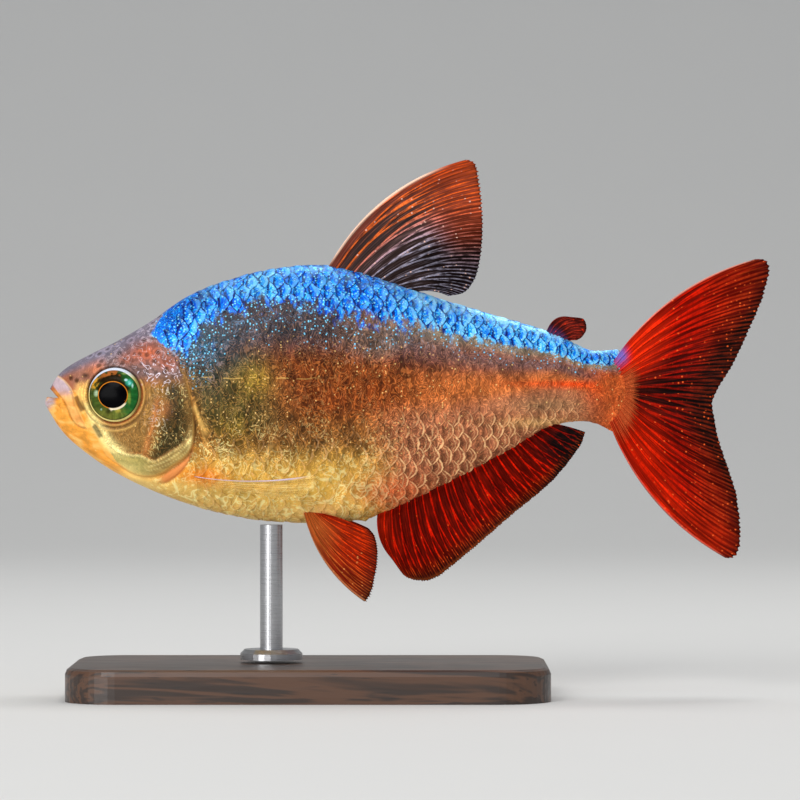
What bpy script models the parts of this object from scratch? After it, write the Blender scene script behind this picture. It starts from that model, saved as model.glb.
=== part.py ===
"""A life-size Colombian tetra, swimming level above a plain display stand.

Metres, +Z up. The head points to -X, the tail to +X and the fish's left side to -Y. The origin is on the
floor, under the middle of the fish's length. Sizes below are in millimetres: "along" is the distance behind
the tip of the lower jaw, and "up" is the height above the line through the eyes' centres.
"""

import math

import bpy
import bmesh
from mathutils import Vector

MM = 0.001

# Driving sizes, in millimetres
TOTAL_LENGTH = 70.0
EYE_LINE_HEIGHT = 29.0
GAP = 0.3
FIN_MEMBRANE = 0.5
RIDGE_AT_ROOT, RIDGE_AT_MARGIN = 0.34, 0.14

# The body's outline at its landmarks: along, top, bottom, half width, height of the widest point
SECTIONS = (
    (0.0, -0.30, -1.15, 0.55, -0.70),  # tip of the lower jaw
    (0.55, 0.85, -1.95, 1.10, -0.60),  # front of the upper lip
    (1.20, 1.90, -3.00, 1.50, -0.50),
    (2.30, 2.85, -4.30, 2.00, -0.50),  # nostrils
    (4.60, 4.10, -6.15, 2.75, -0.60),  # front of the eye
    (6.85, 5.20, -7.60, 3.25, -0.80),  # middle of the eye
    (10.1, 7.10, -9.20, 3.75, -1.00),  # back of the eye
    (13.8, 9.60, -10.60, 4.10, -0.80),  # nape
    (18.4, 11.35, -11.78, 4.25, -0.40),  # shoulder
    (23.0, 12.35, -12.30, 4.15, 0.00),
    (27.0, 12.55, -12.33, 3.85, 0.20),  # front of the dorsal fin
    (31.5, 11.60, -11.85, 3.40, 0.40),  # vent
    (38.0, 9.35, -9.05, 2.75, 0.50),
    (45.0, 7.25, -5.35, 2.10, 0.80),
    (48.9, 6.05, -3.10, 1.75, 1.00),  # back of the anal fin
    (52.5, 4.40, -2.68, 1.45, 0.85),  # thinnest part of the tail stalk
    (55.3, 4.45, -3.95, 1.10, 0.60),  # root of the tail fin
)
# How full the back and the belly are at a place along: 2 is an ellipse, more is boxier
BACK_FULLNESS = ((0.0, 2.2), (6.85, 2.7), (13.8, 2.3), (27.0, 2.0), (55.3, 2.0))
BELLY_FULLNESS = ((0.0, 2.2), (6.85, 2.1), (20.0, 2.1), (31.5, 1.9), (45.0, 1.8), (55.3, 2.0))
RING_POINTS = 36
HEAD_RINGS, TRUNK_RINGS, STALK_RINGS = 20, 19, 7
TRUNK_START, STALK_START = 14.4, 47.0
TAIL_ROOT_BULGE = 1.2
GILL_COVER_RISE = 0.25
GILL_COVER_CENTRE, GILL_COVER_REACH = (11.6, -3.2), (3.6, 6.2)

# Thin cuts that part the body, as lines in the side view
GILL_LINE = (
    (9.2, 8.4), (11.3, 4.9), (13.1, 2.3), (13.9, 0.0), (14.5, -2.8),
    (14.4, -5.0), (13.6, -6.6), (12.2, -8.2), (9.9, -10.6),
)
STALK_LINE = ((50.85, 8.0), (51.1, 1.0), (50.85, -6.0))
JAW_LINE = (
    (1.55, -0.20), (2.20, -0.85), (2.55, -1.85), (3.05, -2.75), (3.95, -3.12), (4.35, -4.4), (5.0, -8.5),
)
MOUTH_WEDGE = ((-0.6, 0.55), (0.50, 0.55), (1.05, 0.34), (1.75, -0.12), (1.45, -0.42), (0.25, -0.22), (-0.6, -0.45))

# Jaw edges and lips: flat, rounded ridges from the mouth's corner, round the snout, to the other corner
UPPER_LIP = ((3.85, -2.90), (3.20, -2.15), (2.72, -1.10), (2.30, -0.15), (1.75, 0.55), (1.10, 0.90))
LOWER_LIP = ((2.30, -2.20), (1.75, -1.35), (1.15, -0.78), (0.50, -0.66))
UPPER_LIP_FRONT, LOWER_LIP_FRONT = 0.86, 0.22
UPPER_LIP_HALF_HEIGHT, LOWER_LIP_HALF_HEIGHT, LIP_HALF_THICK = 0.50, 0.36, 0.28
LIP_CORNER_SHARE = 0.3

# Eyes and nostrils
EYE_ALONG, EYE_UP = 6.85, 0.0
EYE_RADIUS, EYE_DEPTH, EYE_SINK = 2.62, 1.20, 0.45
EYE_RIM_RADIUS, EYE_RIM_THICK = 3.00, 0.30
NOSTRILS = ((2.62, 1.62), (3.20, 1.38))
NOSTRIL_RADIUS = 0.27

# Gill covers: a thin plate on each side of the head, from the cheek back to the gill opening
GILL_COVER_OUTLINE = (
    (11.3, 3.9), (11.05, 2.0), (10.85, 0.0), (10.55, -2.6), (9.95, -4.7),
    (8.9, -6.1), (7.6, -7.0), (8.6, -7.55), (10.4, -8.0), (12.1, -8.6), (16.5, -8.6), (16.5, 3.9),
)
GILL_COVER_THICK = 0.75

# Fins in the side view: the margin runs from the leading ray's tip to the last ray's tip
DORSAL_BASE = (27.3, 35.9)
DORSAL_MARGIN = ((41.1, 22.75), (41.9, 21.6), (42.25, 17.6), (42.15, 13.6), (41.3, 10.9), (39.2, 9.55))
DORSAL_BOW = (1.85, 0.25)
DORSAL_RAYS = 11
ADIPOSE_BASE = (48.3, 50.35)
ADIPOSE_MARGIN = ((51.0, 7.40), (51.95, 7.30), (52.22, 6.35), (51.75, 5.55), (51.25, 5.25))
ADIPOSE_BOW = (0.75, 0.05)
ADIPOSE_RAYS = 5
ANAL_BASE = (32.0, 49.4)
ANAL_MARGIN = (
    (33.9, -16.3), (34.7, -17.55), (36.2, -18.05), (37.8, -17.7),
    (40.7, -15.4), (45.1, -11.6), (48.9, -8.4), (51.6, -5.0), (52.1, -3.6),
)
ANAL_BOW = (-0.65, 0.05)
ANAL_RAYS = 25
TAIL_UPPER_MARGIN = ((69.75, 12.9), (69.95, 12.0), (69.0, 8.6), (66.5, 3.25), (64.75, 0.35), (64.35, -0.60))
TAIL_LOWER_MARGIN = (
    (64.35, -0.92), (64.40, -1.7), (65.0, -4.3), (66.7, -9.4), (67.15, -13.0), (66.9, -14.8), (66.1, -15.85),
)
TAIL_UPPER_BOW, TAIL_LOWER_BOW = (1.4, 0.0), (0.0, -1.4)
TAIL_UPPER_RAYS, TAIL_LOWER_RAYS = 10, 9
TAIL_PARTING = 0.49
PELVIC_BASE = (25.0, 26.9)
PELVIC_MARGIN = ((31.0, -19.9), (31.5, -19.2), (32.05, -16.6), (32.1, -15.0), (31.8, -13.7), (31.2, -12.95))
PELVIC_BOW = (-1.0, 0.15)
PELVIC_RAYS = 8
PELVIC_SIDE, PELVIC_SPLAY = 1.35, 0.30
PECTORAL_BASE = ((14.25, -7.75), (14.15, -8.95))
PECTORAL_MARGIN = ((26.2, -7.55), (26.5, -8.2), (25.6, -9.4), (23.6, -10.1))
PECTORAL_BOW = (-0.55, 0.20)
PECTORAL_RAYS = 8
PECTORAL_FLARE = 2.3
TAIL_SWAY, DORSAL_SWAY, ANAL_SWAY = 0.55, 0.35, 0.35

# Display stand
BASE_LENGTH, BASE_WIDTH, BASE_THICK, BASE_CORNER = 46.0, 26.0, 3.2, 5.0
BASE_CENTRE_ALONG = 25.5
BASE_BEVEL = 0.6
BASE_CORNER_STEPS = 12
ROD_ALONG, ROD_RADIUS = 21.8, 1.1
ROD_FOOT_RADIUS, ROD_FOOT_THICK = 3.0, 1.0
ROD_SIDES = 32

COLOURS = {
    "head": ((0.55, 0.42, 0.22), 0.35, 0.3),
    "jaw": ((0.78, 0.45, 0.18), 0.35, 0.2),
    "trunk": ((0.34, 0.27, 0.18), 0.35, 0.4),
    "stalk": ((0.55, 0.25, 0.10), 0.35, 0.3),
    "eye": ((0.12, 0.25, 0.08), 0.10, 0.2),
    "red_fin": ((0.62, 0.05, 0.01), 0.40, 0.0),
    "dark_fin": ((0.35, 0.10, 0.04), 0.40, 0.0),
    "clear_fin": ((0.80, 0.55, 0.22), 0.35, 0.0),
    "wood": ((0.09, 0.05, 0.03), 0.45, 0.0),
    "steel": ((0.60, 0.60, 0.60), 0.25, 1.0),
}


def clear_scene():
    for item in list(bpy.data.objects):
        bpy.data.objects.remove(item)


def at(along, up, side=0.0):
    """A point of the fish, given in millimetres along, up and to the side, in metres in the world."""
    return Vector((along - TOTAL_LENGTH / 2, side, EYE_LINE_HEIGHT + up)) * MM


def follow(table, x, column=1):
    """A smooth curve through a table's rows, read at x, which is in its first column."""
    rows = list(table)
    last = len(rows) - 1
    i = min(max(sum(row[0] <= x for row in rows) - 1, 0), last - 1)
    slopes = []
    for k in (i, i + 1):
        before, after = rows[max(k - 1, 0)], rows[min(k + 1, last)]
        slopes.append((after[column] - before[column]) / (after[0] - before[0]))
    low, high = rows[i], rows[i + 1]
    width = high[0] - low[0]
    t = (min(max(x, rows[0][0]), rows[last][0]) - low[0]) / width
    return (
        low[column] * (1 + 2 * t) * (1 - t) ** 2
        + high[column] * t * t * (3 - 2 * t)
        + width * slopes[0] * t * (1 - t) ** 2
        - width * slopes[1] * t * t * (1 - t)
    )


def line_through(points, t):
    """A point at t, from 0 to 1, of a smooth curve through side-view points, spaced by its length."""
    lengths = [0.0]
    for a, b in zip(points, points[1:]):
        lengths.append(lengths[-1] + math.dist(a, b))
    table = [(length, *point) for length, point in zip(lengths, points)]
    reach = t * lengths[-1]
    return follow(table, reach, 1), follow(table, reach, 2)


def mix(ends, u):
    """The value at u, from 0 to 1, on the way from one end to the other."""
    return ends[0] + (ends[1] - ends[0]) * u


def bump(value, centre, reach):
    """1 at the centre, falling smoothly to 0 at the reach."""
    share = min(abs(value - centre) / reach, 1.0)
    return (1 - share * share) ** 2


def section(along):
    """Top, bottom, half width, height of the widest point, and the fullness of back and belly."""
    top, bottom, half, middle = (follow(SECTIONS, along, column) for column in (1, 2, 3, 4))
    return top, bottom, half, middle, follow(BACK_FULLNESS, along), follow(BELLY_FULLNESS, along)


def gill_cover_rise(along, up):
    """How far the gill cover stands out over the head's plain outline."""
    return (
        GILL_COVER_RISE
        * bump(along, GILL_COVER_CENTRE[0], GILL_COVER_REACH[0])
        * bump(up, GILL_COVER_CENTRE[1], GILL_COVER_REACH[1])
    )


def body_half_width(along, up):
    """Distance from the middle plane to the body's surface at a place in the side view."""
    top, bottom, half, middle, back, belly = section(along)
    edge, fullness = (top, back) if up >= middle else (bottom, belly)
    share = min(abs((up - middle) / (edge - middle)), 1.0)
    return half * (1 - share**2) ** (1 / fullness) + gill_cover_rise(along, up)


def belly_height(along, side):
    """Height of the body's underside at a distance from the middle plane."""
    _, bottom, half, middle, _, belly = section(along)
    return middle + (bottom - middle) * math.sqrt(1 - (abs(side) / half) ** belly)


def tail_root_shift(along, up):
    """How far a ring near the tail root is pushed back, so that the root is rounded in the side view."""
    top, bottom = section(along)[:2]
    share = min(max((along - STALK_LINE[1][0]) / (SECTIONS[-1][0] - STALK_LINE[1][0]), 0.0), 1.0)
    height = (2 * up - top - bottom) / (top - bottom)
    return TAIL_ROOT_BULGE * share * share * (1 - height * height)


def ring(along):
    """The body's cross-section at a place along, as points in millimetres."""
    top, bottom, half, middle, back, belly = section(along)
    points = []
    for k in range(RING_POINTS):
        angle = 2 * math.pi * (k + 0.5) / RING_POINTS
        across, rise = math.cos(angle), math.sin(angle)
        edge, fullness = (top, back) if rise >= 0 else (bottom, belly)
        up = middle + (edge - middle) * abs(rise)
        side = half * abs(across) ** (2 / fullness) + gill_cover_rise(along, up)
        points.append((along + tail_root_shift(along, up), up, math.copysign(side, across)))
    return points


def ring_places():
    """Where the body's rings stand, closer together on the head than behind it."""
    head = [TRUNK_START * (k / HEAD_RINGS) ** 1.35 for k in range(HEAD_RINGS)]
    trunk = [TRUNK_START + (STALK_START - TRUNK_START) * k / TRUNK_RINGS for k in range(TRUNK_RINGS)]
    end = SECTIONS[-1][0]
    stalk = [STALK_START + (end - STALK_START) * k / STALK_RINGS for k in range(STALK_RINGS + 1)]
    return head + trunk + stalk


def material(name):
    colour, roughness, metallic = COLOURS[name]
    made = bpy.data.materials.get(name) or bpy.data.materials.new(name)
    made.use_nodes = True
    shader = made.node_tree.nodes["Principled BSDF"]
    shader.inputs["Base Color"].default_value = (*colour, 1.0)
    shader.inputs["Roughness"].default_value = roughness
    shader.inputs["Metallic"].default_value = metallic
    return made


def object_from(name, mesh_data, finish=None):
    """A mesh object from a bmesh, closed and facing outwards."""
    mesh_data.normal_update()
    bmesh.ops.recalc_face_normals(mesh_data, faces=mesh_data.faces)
    mesh = bpy.data.meshes.new(name)
    mesh_data.to_mesh(mesh)
    mesh_data.free()
    made = bpy.data.objects.new(name, mesh)
    bpy.context.scene.collection.objects.link(made)
    if finish:
        mesh.materials.append(material(finish))
        mesh.shade_smooth()
    return made


def joined_rings(name, rings, finish=None):
    """A closed skin over a row of rings that have the same number of points."""
    mesh_data = bmesh.new()
    rows = [[mesh_data.verts.new(point) for point in points] for points in rings]
    for front, behind in zip(rows, rows[1:]):
        for k in range(len(front)):
            after = (k + 1) % len(front)
            mesh_data.faces.new((front[k], front[after], behind[after], behind[k]))
    mesh_data.faces.new(rows[0])
    mesh_data.faces.new(list(reversed(rows[-1])))
    return object_from(name, mesh_data, finish)


def side_view_prism(name, outline, reach=9.0):
    """A closed outline in the side view, extruded through the whole width of the fish."""
    mesh_data = bmesh.new()
    near = [mesh_data.verts.new(at(along, up, -reach)) for along, up in outline]
    face = mesh_data.faces.new(near)
    made = bmesh.ops.extrude_face_region(mesh_data, geom=[face])["geom"]
    bmesh.ops.translate(
        mesh_data,
        verts=[item for item in made if isinstance(item, bmesh.types.BMVert)],
        vec=(0, 2 * reach * MM, 0),
    )
    return object_from(name, mesh_data)


def ribbon(name, line, steps):
    """A thin cut of the width that neighbours keep clear, along a smooth line in the side view."""
    centre = [Vector(line_through(line, k / steps)) for k in range(steps + 1)]
    near, far = [], []
    for k, point in enumerate(centre):
        run = (centre[min(k + 1, steps)] - centre[max(k - 1, 0)]).normalized()
        normal = Vector((-run.y, run.x)) * GAP / 2
        near.append(point + normal)
        far.append(point - normal)
    return side_view_prism(name, near + far[::-1])


def combine(target, others, operation, solver="EXACT"):
    """Joins others to the target, or cuts them from it, and removes them."""
    tools = bpy.data.collections.new("tools")
    for item in others:
        for holder in list(item.users_collection):
            holder.objects.unlink(item)
        tools.objects.link(item)
    bpy.context.scene.collection.children.link(tools)
    step = target.modifiers.new("combine", "BOOLEAN")
    step.operand_type = "COLLECTION"
    step.collection = tools
    step.operation = operation
    step.solver = solver
    graph = bpy.context.evaluated_depsgraph_get()
    result = bpy.data.meshes.new_from_object(target.evaluated_get(graph))
    target.modifiers.remove(step)
    result.name = target.name
    target.data = result
    for item in others:
        bpy.data.objects.remove(item)
    bpy.data.collections.remove(tools)


def part_loose(whole):
    """The separate closed surfaces of an object, as objects sorted from front to back."""
    bpy.ops.object.select_all(action="DESELECT")
    whole.select_set(True)
    bpy.context.view_layer.objects.active = whole
    bpy.ops.object.mode_set(mode="EDIT")
    bpy.ops.mesh.select_all(action="SELECT")
    bpy.ops.mesh.separate(type="LOOSE")
    bpy.ops.object.mode_set(mode="OBJECT")
    pieces = list(bpy.context.selected_objects)
    return sorted(pieces, key=lambda item: sum(v.co.x for v in item.data.vertices) / len(item.data.vertices))


def surface_normal(along, up, side):
    """The direction straight out of the body's surface at a place in the side view."""
    step = 0.3
    lengthwise = (body_half_width(along + step, up) - body_half_width(along - step, up)) / (2 * step)
    upwards = (body_half_width(along, up + step) - body_half_width(along, up - step)) / (2 * step)
    return Vector((-lengthwise, side, -upwards)).normalized()


def ball(name, centre, axis, radius, depth, segments, rings, finish=None):
    """A round body that is flattened along an axis, with its poles on that axis."""
    mesh_data = bmesh.new()
    bmesh.ops.create_uvsphere(mesh_data, u_segments=segments, v_segments=rings, radius=1.0)
    turn = axis.to_track_quat("Z", "Y")
    for vertex in mesh_data.verts:
        x, y, z = vertex.co
        vertex.co = centre + turn @ Vector((x * radius, y * radius, z * depth)) * MM
    return object_from(name, mesh_data, finish)


def eye_frame(side):
    """The middle of the eyeball and its axis, which is square to the head's surface."""
    axis = surface_normal(EYE_ALONG, EYE_UP, side)
    surface = at(EYE_ALONG, EYE_UP, side * body_half_width(EYE_ALONG, EYE_UP))
    return surface - axis * EYE_SINK * MM, axis


def eye_rim(name, side, around=30, across=6):
    """A round ridge that lies on the head's surface round the eye."""
    mesh_data = bmesh.new()
    middle, axis = eye_frame(side)
    turn = axis.to_track_quat("Z", "Y")
    rows = []
    for k in range(around):
        angle = 2 * math.pi * k / around
        out = turn @ Vector((math.cos(angle), math.sin(angle), 0))
        spot = middle + out * EYE_RIM_RADIUS * MM
        along, up = spot.x / MM + TOTAL_LENGTH / 2, spot.z / MM - EYE_LINE_HEIGHT
        spot.y = side * (body_half_width(along, up) - 0.04) * MM
        row = []
        for j in range(across):
            roll = 2 * math.pi * j / across
            row.append(mesh_data.verts.new(spot + (out * math.cos(roll) + axis * math.sin(roll)) * EYE_RIM_THICK * MM))
        rows.append(row)
    for k, row in enumerate(rows):
        following = rows[(k + 1) % around]
        for j in range(across):
            after = (j + 1) % across
            mesh_data.faces.new((row[j], row[after], following[after], following[j]))
    return object_from(name, mesh_data)


def flat_tube(name, centres, heights, thicks, sides=10):
    """An oval bar through points, with its own half height and half thickness at each point."""
    rings = []
    for k, centre in enumerate(centres):
        run = (centres[min(k + 1, len(centres) - 1)] - centres[max(k - 1, 0)]).normalized()
        across = run.cross(Vector((0, 0, 1))).normalized() * thicks[k] * MM
        other = run.cross(across).normalized() * heights[k] * MM
        turns = [2 * math.pi * j / sides for j in range(sides)]
        rings.append([centre + across * math.cos(a) + other * math.sin(a) for a in turns])
    return joined_rings(name, rings)


def lip(name, line, front, half_height, steps=8):
    """A rounded ridge on the mouth's edge, from one corner round the front to the other."""
    places = [line_through(line, k / steps) for k in range(steps + 1)]
    sides = [max(body_half_width(*place) - 0.10, 0.2) for place in places]
    left = [at(along, up, -side) for (along, up), side in zip(places, sides)]
    right = [at(along, up, side) for (along, up), side in zip(places, sides)]
    middle = at(front, places[-1][1])
    centres = left + [middle] + right[::-1]
    growth = [mix((LIP_CORNER_SHARE, 1.0), math.sin(math.pi / 2 * k / steps)) for k in range(steps + 1)]
    growth = growth + [1.0] + growth[::-1]
    heights = [half_height * share for share in growth]
    thicks = [LIP_HALF_THICK * share for share in growth]
    return flat_tube(name, centres, heights, thicks)


def build_body():
    """Head, lower jaw, trunk and tail stalk: one form, parted by thin cuts."""
    rings = [[at(*point) for point in ring(along)] for along in ring_places()]
    whole = joined_rings("body", rings, "trunk")
    cutters = [
        ribbon("gill_cut", GILL_LINE, 18),
        ribbon("stalk_cut", STALK_LINE, 2),
        ribbon("jaw_cut", JAW_LINE, 14),
        side_view_prism("mouth_cut", MOUTH_WEDGE),
    ]
    combine(whole, cutters, "DIFFERENCE")
    names = ("lower_jaw", "head", "torso", "tail_stalk")
    finishes = ("jaw", "head", "trunk", "stalk")
    pieces = part_loose(whole)
    for piece, name, finish in zip(pieces, names, finishes, strict=True):
        piece.name = name
        piece.data.materials.clear()
        piece.data.materials.append(material(finish))
    return dict(zip(names, pieces))


def build_head_details(pieces):
    """Lips, eye rims, eye sockets and nostrils."""
    head, jaw = pieces["head"], pieces["lower_jaw"]
    rims = [eye_rim("rim", side) for side in (-1, 1)]
    combine(head, [lip("upper_lip", UPPER_LIP, UPPER_LIP_FRONT, UPPER_LIP_HALF_HEIGHT), *rims], "UNION")
    combine(jaw, [lip("lower_lip", LOWER_LIP, LOWER_LIP_FRONT, LOWER_LIP_HALF_HEIGHT)], "UNION")
    combine(jaw, [ribbon("jaw_trim", JAW_LINE, 14)], "DIFFERENCE")
    keep_largest(jaw)
    pits = [ribbon("lip_trim", JAW_LINE, 14)]
    for side in (-1, 1):
        centre, axis = eye_frame(side)
        pits.append(ball("socket", centre, axis, EYE_RADIUS + GAP, EYE_DEPTH + GAP, 30, 14))
        for along, up in NOSTRILS:
            centre = at(along, up, side * body_half_width(along, up))
            pits.append(ball("nostril", centre, Vector((0, side, 0)), NOSTRIL_RADIUS, NOSTRIL_RADIUS, 8, 6))
    combine(head, pits, "DIFFERENCE")
    keep_largest(head)
    for name, side in (("eye_left", -1), ("eye_right", 1)):
        ball(name, *eye_frame(side), EYE_RADIUS, EYE_DEPTH, 26, 12, "eye")


def keep_largest(item):
    """Drops the loose scraps that a cut leaves."""
    pieces = part_loose(item)
    largest = max(pieces, key=lambda piece: len(piece.data.polygons))
    largest.name = item.name
    for piece in pieces:
        if piece is not largest:
            bpy.data.objects.remove(piece)


def inner_form(name, depth):
    """The head's form drawn in from its sides by a depth."""
    rings = []
    for along in ring_places():
        if 4.0 < along < 20.0:
            rings.append([at(x, up, math.copysign(max(abs(side) - depth, 0.02), side)) for x, up, side in ring(along)])
    return joined_rings(name, rings)


def grown(outline, amount):
    """A side-view outline that runs anticlockwise, moved outwards."""
    count = len(outline)
    moved = []
    for k, point in enumerate(outline):
        before = (Vector(point) - Vector(outline[k - 1])).normalized()
        after = (Vector(outline[(k + 1) % count]) - Vector(point)).normalized()
        normal = Vector((before.y + after.y, -before.x - after.x)).normalized()
        moved.append(Vector(point) + normal * amount / normal.dot(Vector((after.y, -after.x))))
    return moved


def build_gill_covers(head):
    """Cuts a thin plate out of each side of the head, from the cheek to the gill opening."""
    cover = head.copy()
    cover.data = head.data.copy()
    cover.name = "gill_cover"
    bpy.context.scene.collection.objects.link(cover)
    combine(cover, [side_view_prism("cover_cut", GILL_COVER_OUTLINE)], "INTERSECT")
    combine(cover, [inner_form("cover_inside", GILL_COVER_THICK)], "DIFFERENCE")
    recess = side_view_prism("recess", grown(GILL_COVER_OUTLINE, GAP))
    combine(recess, [inner_form("recess_inside", GILL_COVER_THICK + GAP)], "DIFFERENCE")
    combine(head, [recess], "DIFFERENCE")
    keep_largest(head)
    sides = {-1: [], 1: []}
    for piece in part_loose(cover):
        mean = sum(vertex.co.y for vertex in piece.data.vertices)
        sides[-1 if mean < 0 else 1].append(piece)
    for side, name in ((-1, "gill_cover_left"), (1, "gill_cover_right")):
        largest = max(sides[side], key=lambda piece: len(piece.data.polygons))
        largest.name = name
        for piece in sides[side]:
            if piece is not largest:
                bpy.data.objects.remove(piece)


def ridge_height(middle, rays, u, t):
    """How far a ray's two ridges thicken the membrane, never more than the distance to the next ray."""
    step = 1 / (rays - 1)
    before, after = max(u - step, 0.0), min(u + step, 1.0)
    pitch = (middle(after, t) - middle(before, t)).length / MM * step / (after - before)
    return min(mix((RIDGE_AT_ROOT, RIDGE_AT_MARGIN), t), pitch)


def sheet_with_rays(name, middle, rays, rows, finish, across=Vector((0, 1, 0)), root_thick=1.0, seat=None):
    """A fin: a thin membrane with a ridge along each ray, closed all round.

    middle(u, t) is a point of its middle surface, u from the leading ray to the last, t from root to margin.
    """
    columns = 2 * (rays - 1)
    mesh_data = bmesh.new()
    faces = {-1: [], 1: []}
    for i in range(columns + 1):
        u = i / columns
        on_ray = i % 2 == 0
        near, far = [], []
        for j in range(rows + 1):
            t = j / rows
            reach = t if on_ray else t * 0.975
            thin = 1 - 0.45 * max(0.0, (t - 0.8) / 0.2)
            membrane = FIN_MEMBRANE * thin
            ridge = ridge_height(middle, rays, u, t) * thin if on_ray else 0.0
            flesh = max(0.0, 1 - t * rows) * (root_thick - FIN_MEMBRANE)
            half = (membrane + max(ridge, flesh)) / 2
            point = middle(u, reach)
            for side, row in ((-1, near), (1, far)):
                place = point + across * (side * half * MM)
                if seat and j == 0:
                    place = seat(place)
                row.append(mesh_data.verts.new(place))
        faces[-1].append(near)
        faces[1].append(far)
    for side in (-1, 1):
        grid = faces[side]
        for i in range(columns):
            for j in range(rows):
                a, b, c, d = grid[i][j], grid[i + 1][j], grid[i + 1][j + 1], grid[i][j + 1]
                mesh_data.faces.new((a, b, c))
                mesh_data.faces.new((a, c, d))
    near, far = faces[-1], faces[1]
    for i in range(columns):
        for j in (0, rows):
            mesh_data.faces.new((near[i][j], near[i + 1][j], far[i + 1][j], far[i][j]))
    for j in range(rows):
        for i in (0, columns):
            mesh_data.faces.new((near[i][j], near[i][j + 1], far[i][j + 1], far[i][j]))
    return object_from(name, mesh_data, finish)


def ray_point(root, tip, bow, t):
    """A point of a bowed ray in the side view. Bow is how far its middle lies off the straight line."""
    run = Vector((tip[0] - root[0], tip[1] - root[1]))
    normal = Vector((-run.y, run.x)).normalized()
    return Vector(root) + run * t + normal * (4 * bow * t * (1 - t))


def middle_fin(name, root_line, margin, bow, rays, rows, finish, sway=0.0, wave=(0.1, 1.6), root_thick=1.0):
    """A fin in the middle plane, with its root on a line given by u, swaying a little towards its margin."""

    def middle(u, t):
        place = ray_point(root_line(u), line_through(margin, u), mix(bow, u), t)
        return at(place.x, place.y, sway * t * t * math.sin(2 * math.pi * mix(wave, u)))

    return sheet_with_rays(name, middle, rays, rows, finish, root_thick=root_thick)


def build_middle_fins():
    def back_root(base):
        return lambda u: (mix(base, u), section(mix(base, u))[0] + GAP)

    def belly_root(base):
        return lambda u: (mix(base, u), section(mix(base, u))[1] - GAP)

    def tail_root(first, last, nudge):
        end = SECTIONS[-1][0]
        top, bottom = section(end)[:2]

        def root(u):
            up = top + (bottom - top) * (0.03 + 0.94 * mix((first, last), u)) + nudge * GAP / 2
            return end + tail_root_shift(end, up) + GAP, up

        return root

    middle_fin(
        "dorsal_fin", back_root(DORSAL_BASE), DORSAL_MARGIN, DORSAL_BOW, DORSAL_RAYS, 9, "dark_fin", DORSAL_SWAY
    )
    middle_fin(
        "adipose_fin", back_root(ADIPOSE_BASE), ADIPOSE_MARGIN, ADIPOSE_BOW, ADIPOSE_RAYS, 5, "red_fin",
        root_thick=0.7,
    )
    middle_fin(
        "anal_fin", belly_root(ANAL_BASE), ANAL_MARGIN, ANAL_BOW, ANAL_RAYS, 7, "red_fin", ANAL_SWAY
    )
    middle_fin(
        "tail_fin_upper", tail_root(0.0, TAIL_PARTING, 1), TAIL_UPPER_MARGIN, TAIL_UPPER_BOW, TAIL_UPPER_RAYS,
        10, "red_fin", TAIL_SWAY, (0.1, 0.85), 1.5,
    )
    middle_fin(
        "tail_fin_lower", tail_root(TAIL_PARTING, 1.0, -1), TAIL_LOWER_MARGIN, TAIL_LOWER_BOW, TAIL_LOWER_RAYS,
        10, "red_fin", TAIL_SWAY, (0.85, 1.6), 1.5,
    )


def build_pelvic_fin(name, side):
    """A pelvic fin, splayed out from the belly, with its root seated on the belly's slope."""

    def middle(u, t):
        along = mix(PELVIC_BASE, u)
        root = (along, belly_height(along, PELVIC_SIDE) - GAP)
        place = ray_point(root, line_through(PELVIC_MARGIN, u), mix(PELVIC_BOW, u), t)
        return at(place.x, place.y, side * (PELVIC_SIDE + PELVIC_SPLAY * (root[1] - place.y) + 0.9 * t * u))

    def seat(place):
        along = place.x / MM + TOTAL_LENGTH / 2
        out = abs(place.y / MM)
        slope = (belly_height(along, out + 0.05) - belly_height(along, out - 0.05)) / 0.1
        return at(along, belly_height(along, out) - GAP * math.hypot(1, slope), place.y / MM)

    sheet_with_rays(name, middle, PELVIC_RAYS, 8, "red_fin", root_thick=0.9, seat=seat)


def build_pectoral_fin(name, side):
    """A pectoral fin, folded back along the flank, with the inner face of its root against the flank."""

    def middle(u, t):
        root = (mix((PECTORAL_BASE[0][0], PECTORAL_BASE[1][0]), u), mix((PECTORAL_BASE[0][1], PECTORAL_BASE[1][1]), u))
        place = ray_point(root, line_through(PECTORAL_MARGIN, u), mix(PECTORAL_BOW, u), t)
        out = body_half_width(place.x, place.y) + GAP + 0.55 + PECTORAL_FLARE * t**1.2
        return at(place.x, place.y, side * out)

    sheet_with_rays(name, middle, PECTORAL_RAYS, 8, "clear_fin", root_thick=0.8)


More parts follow.
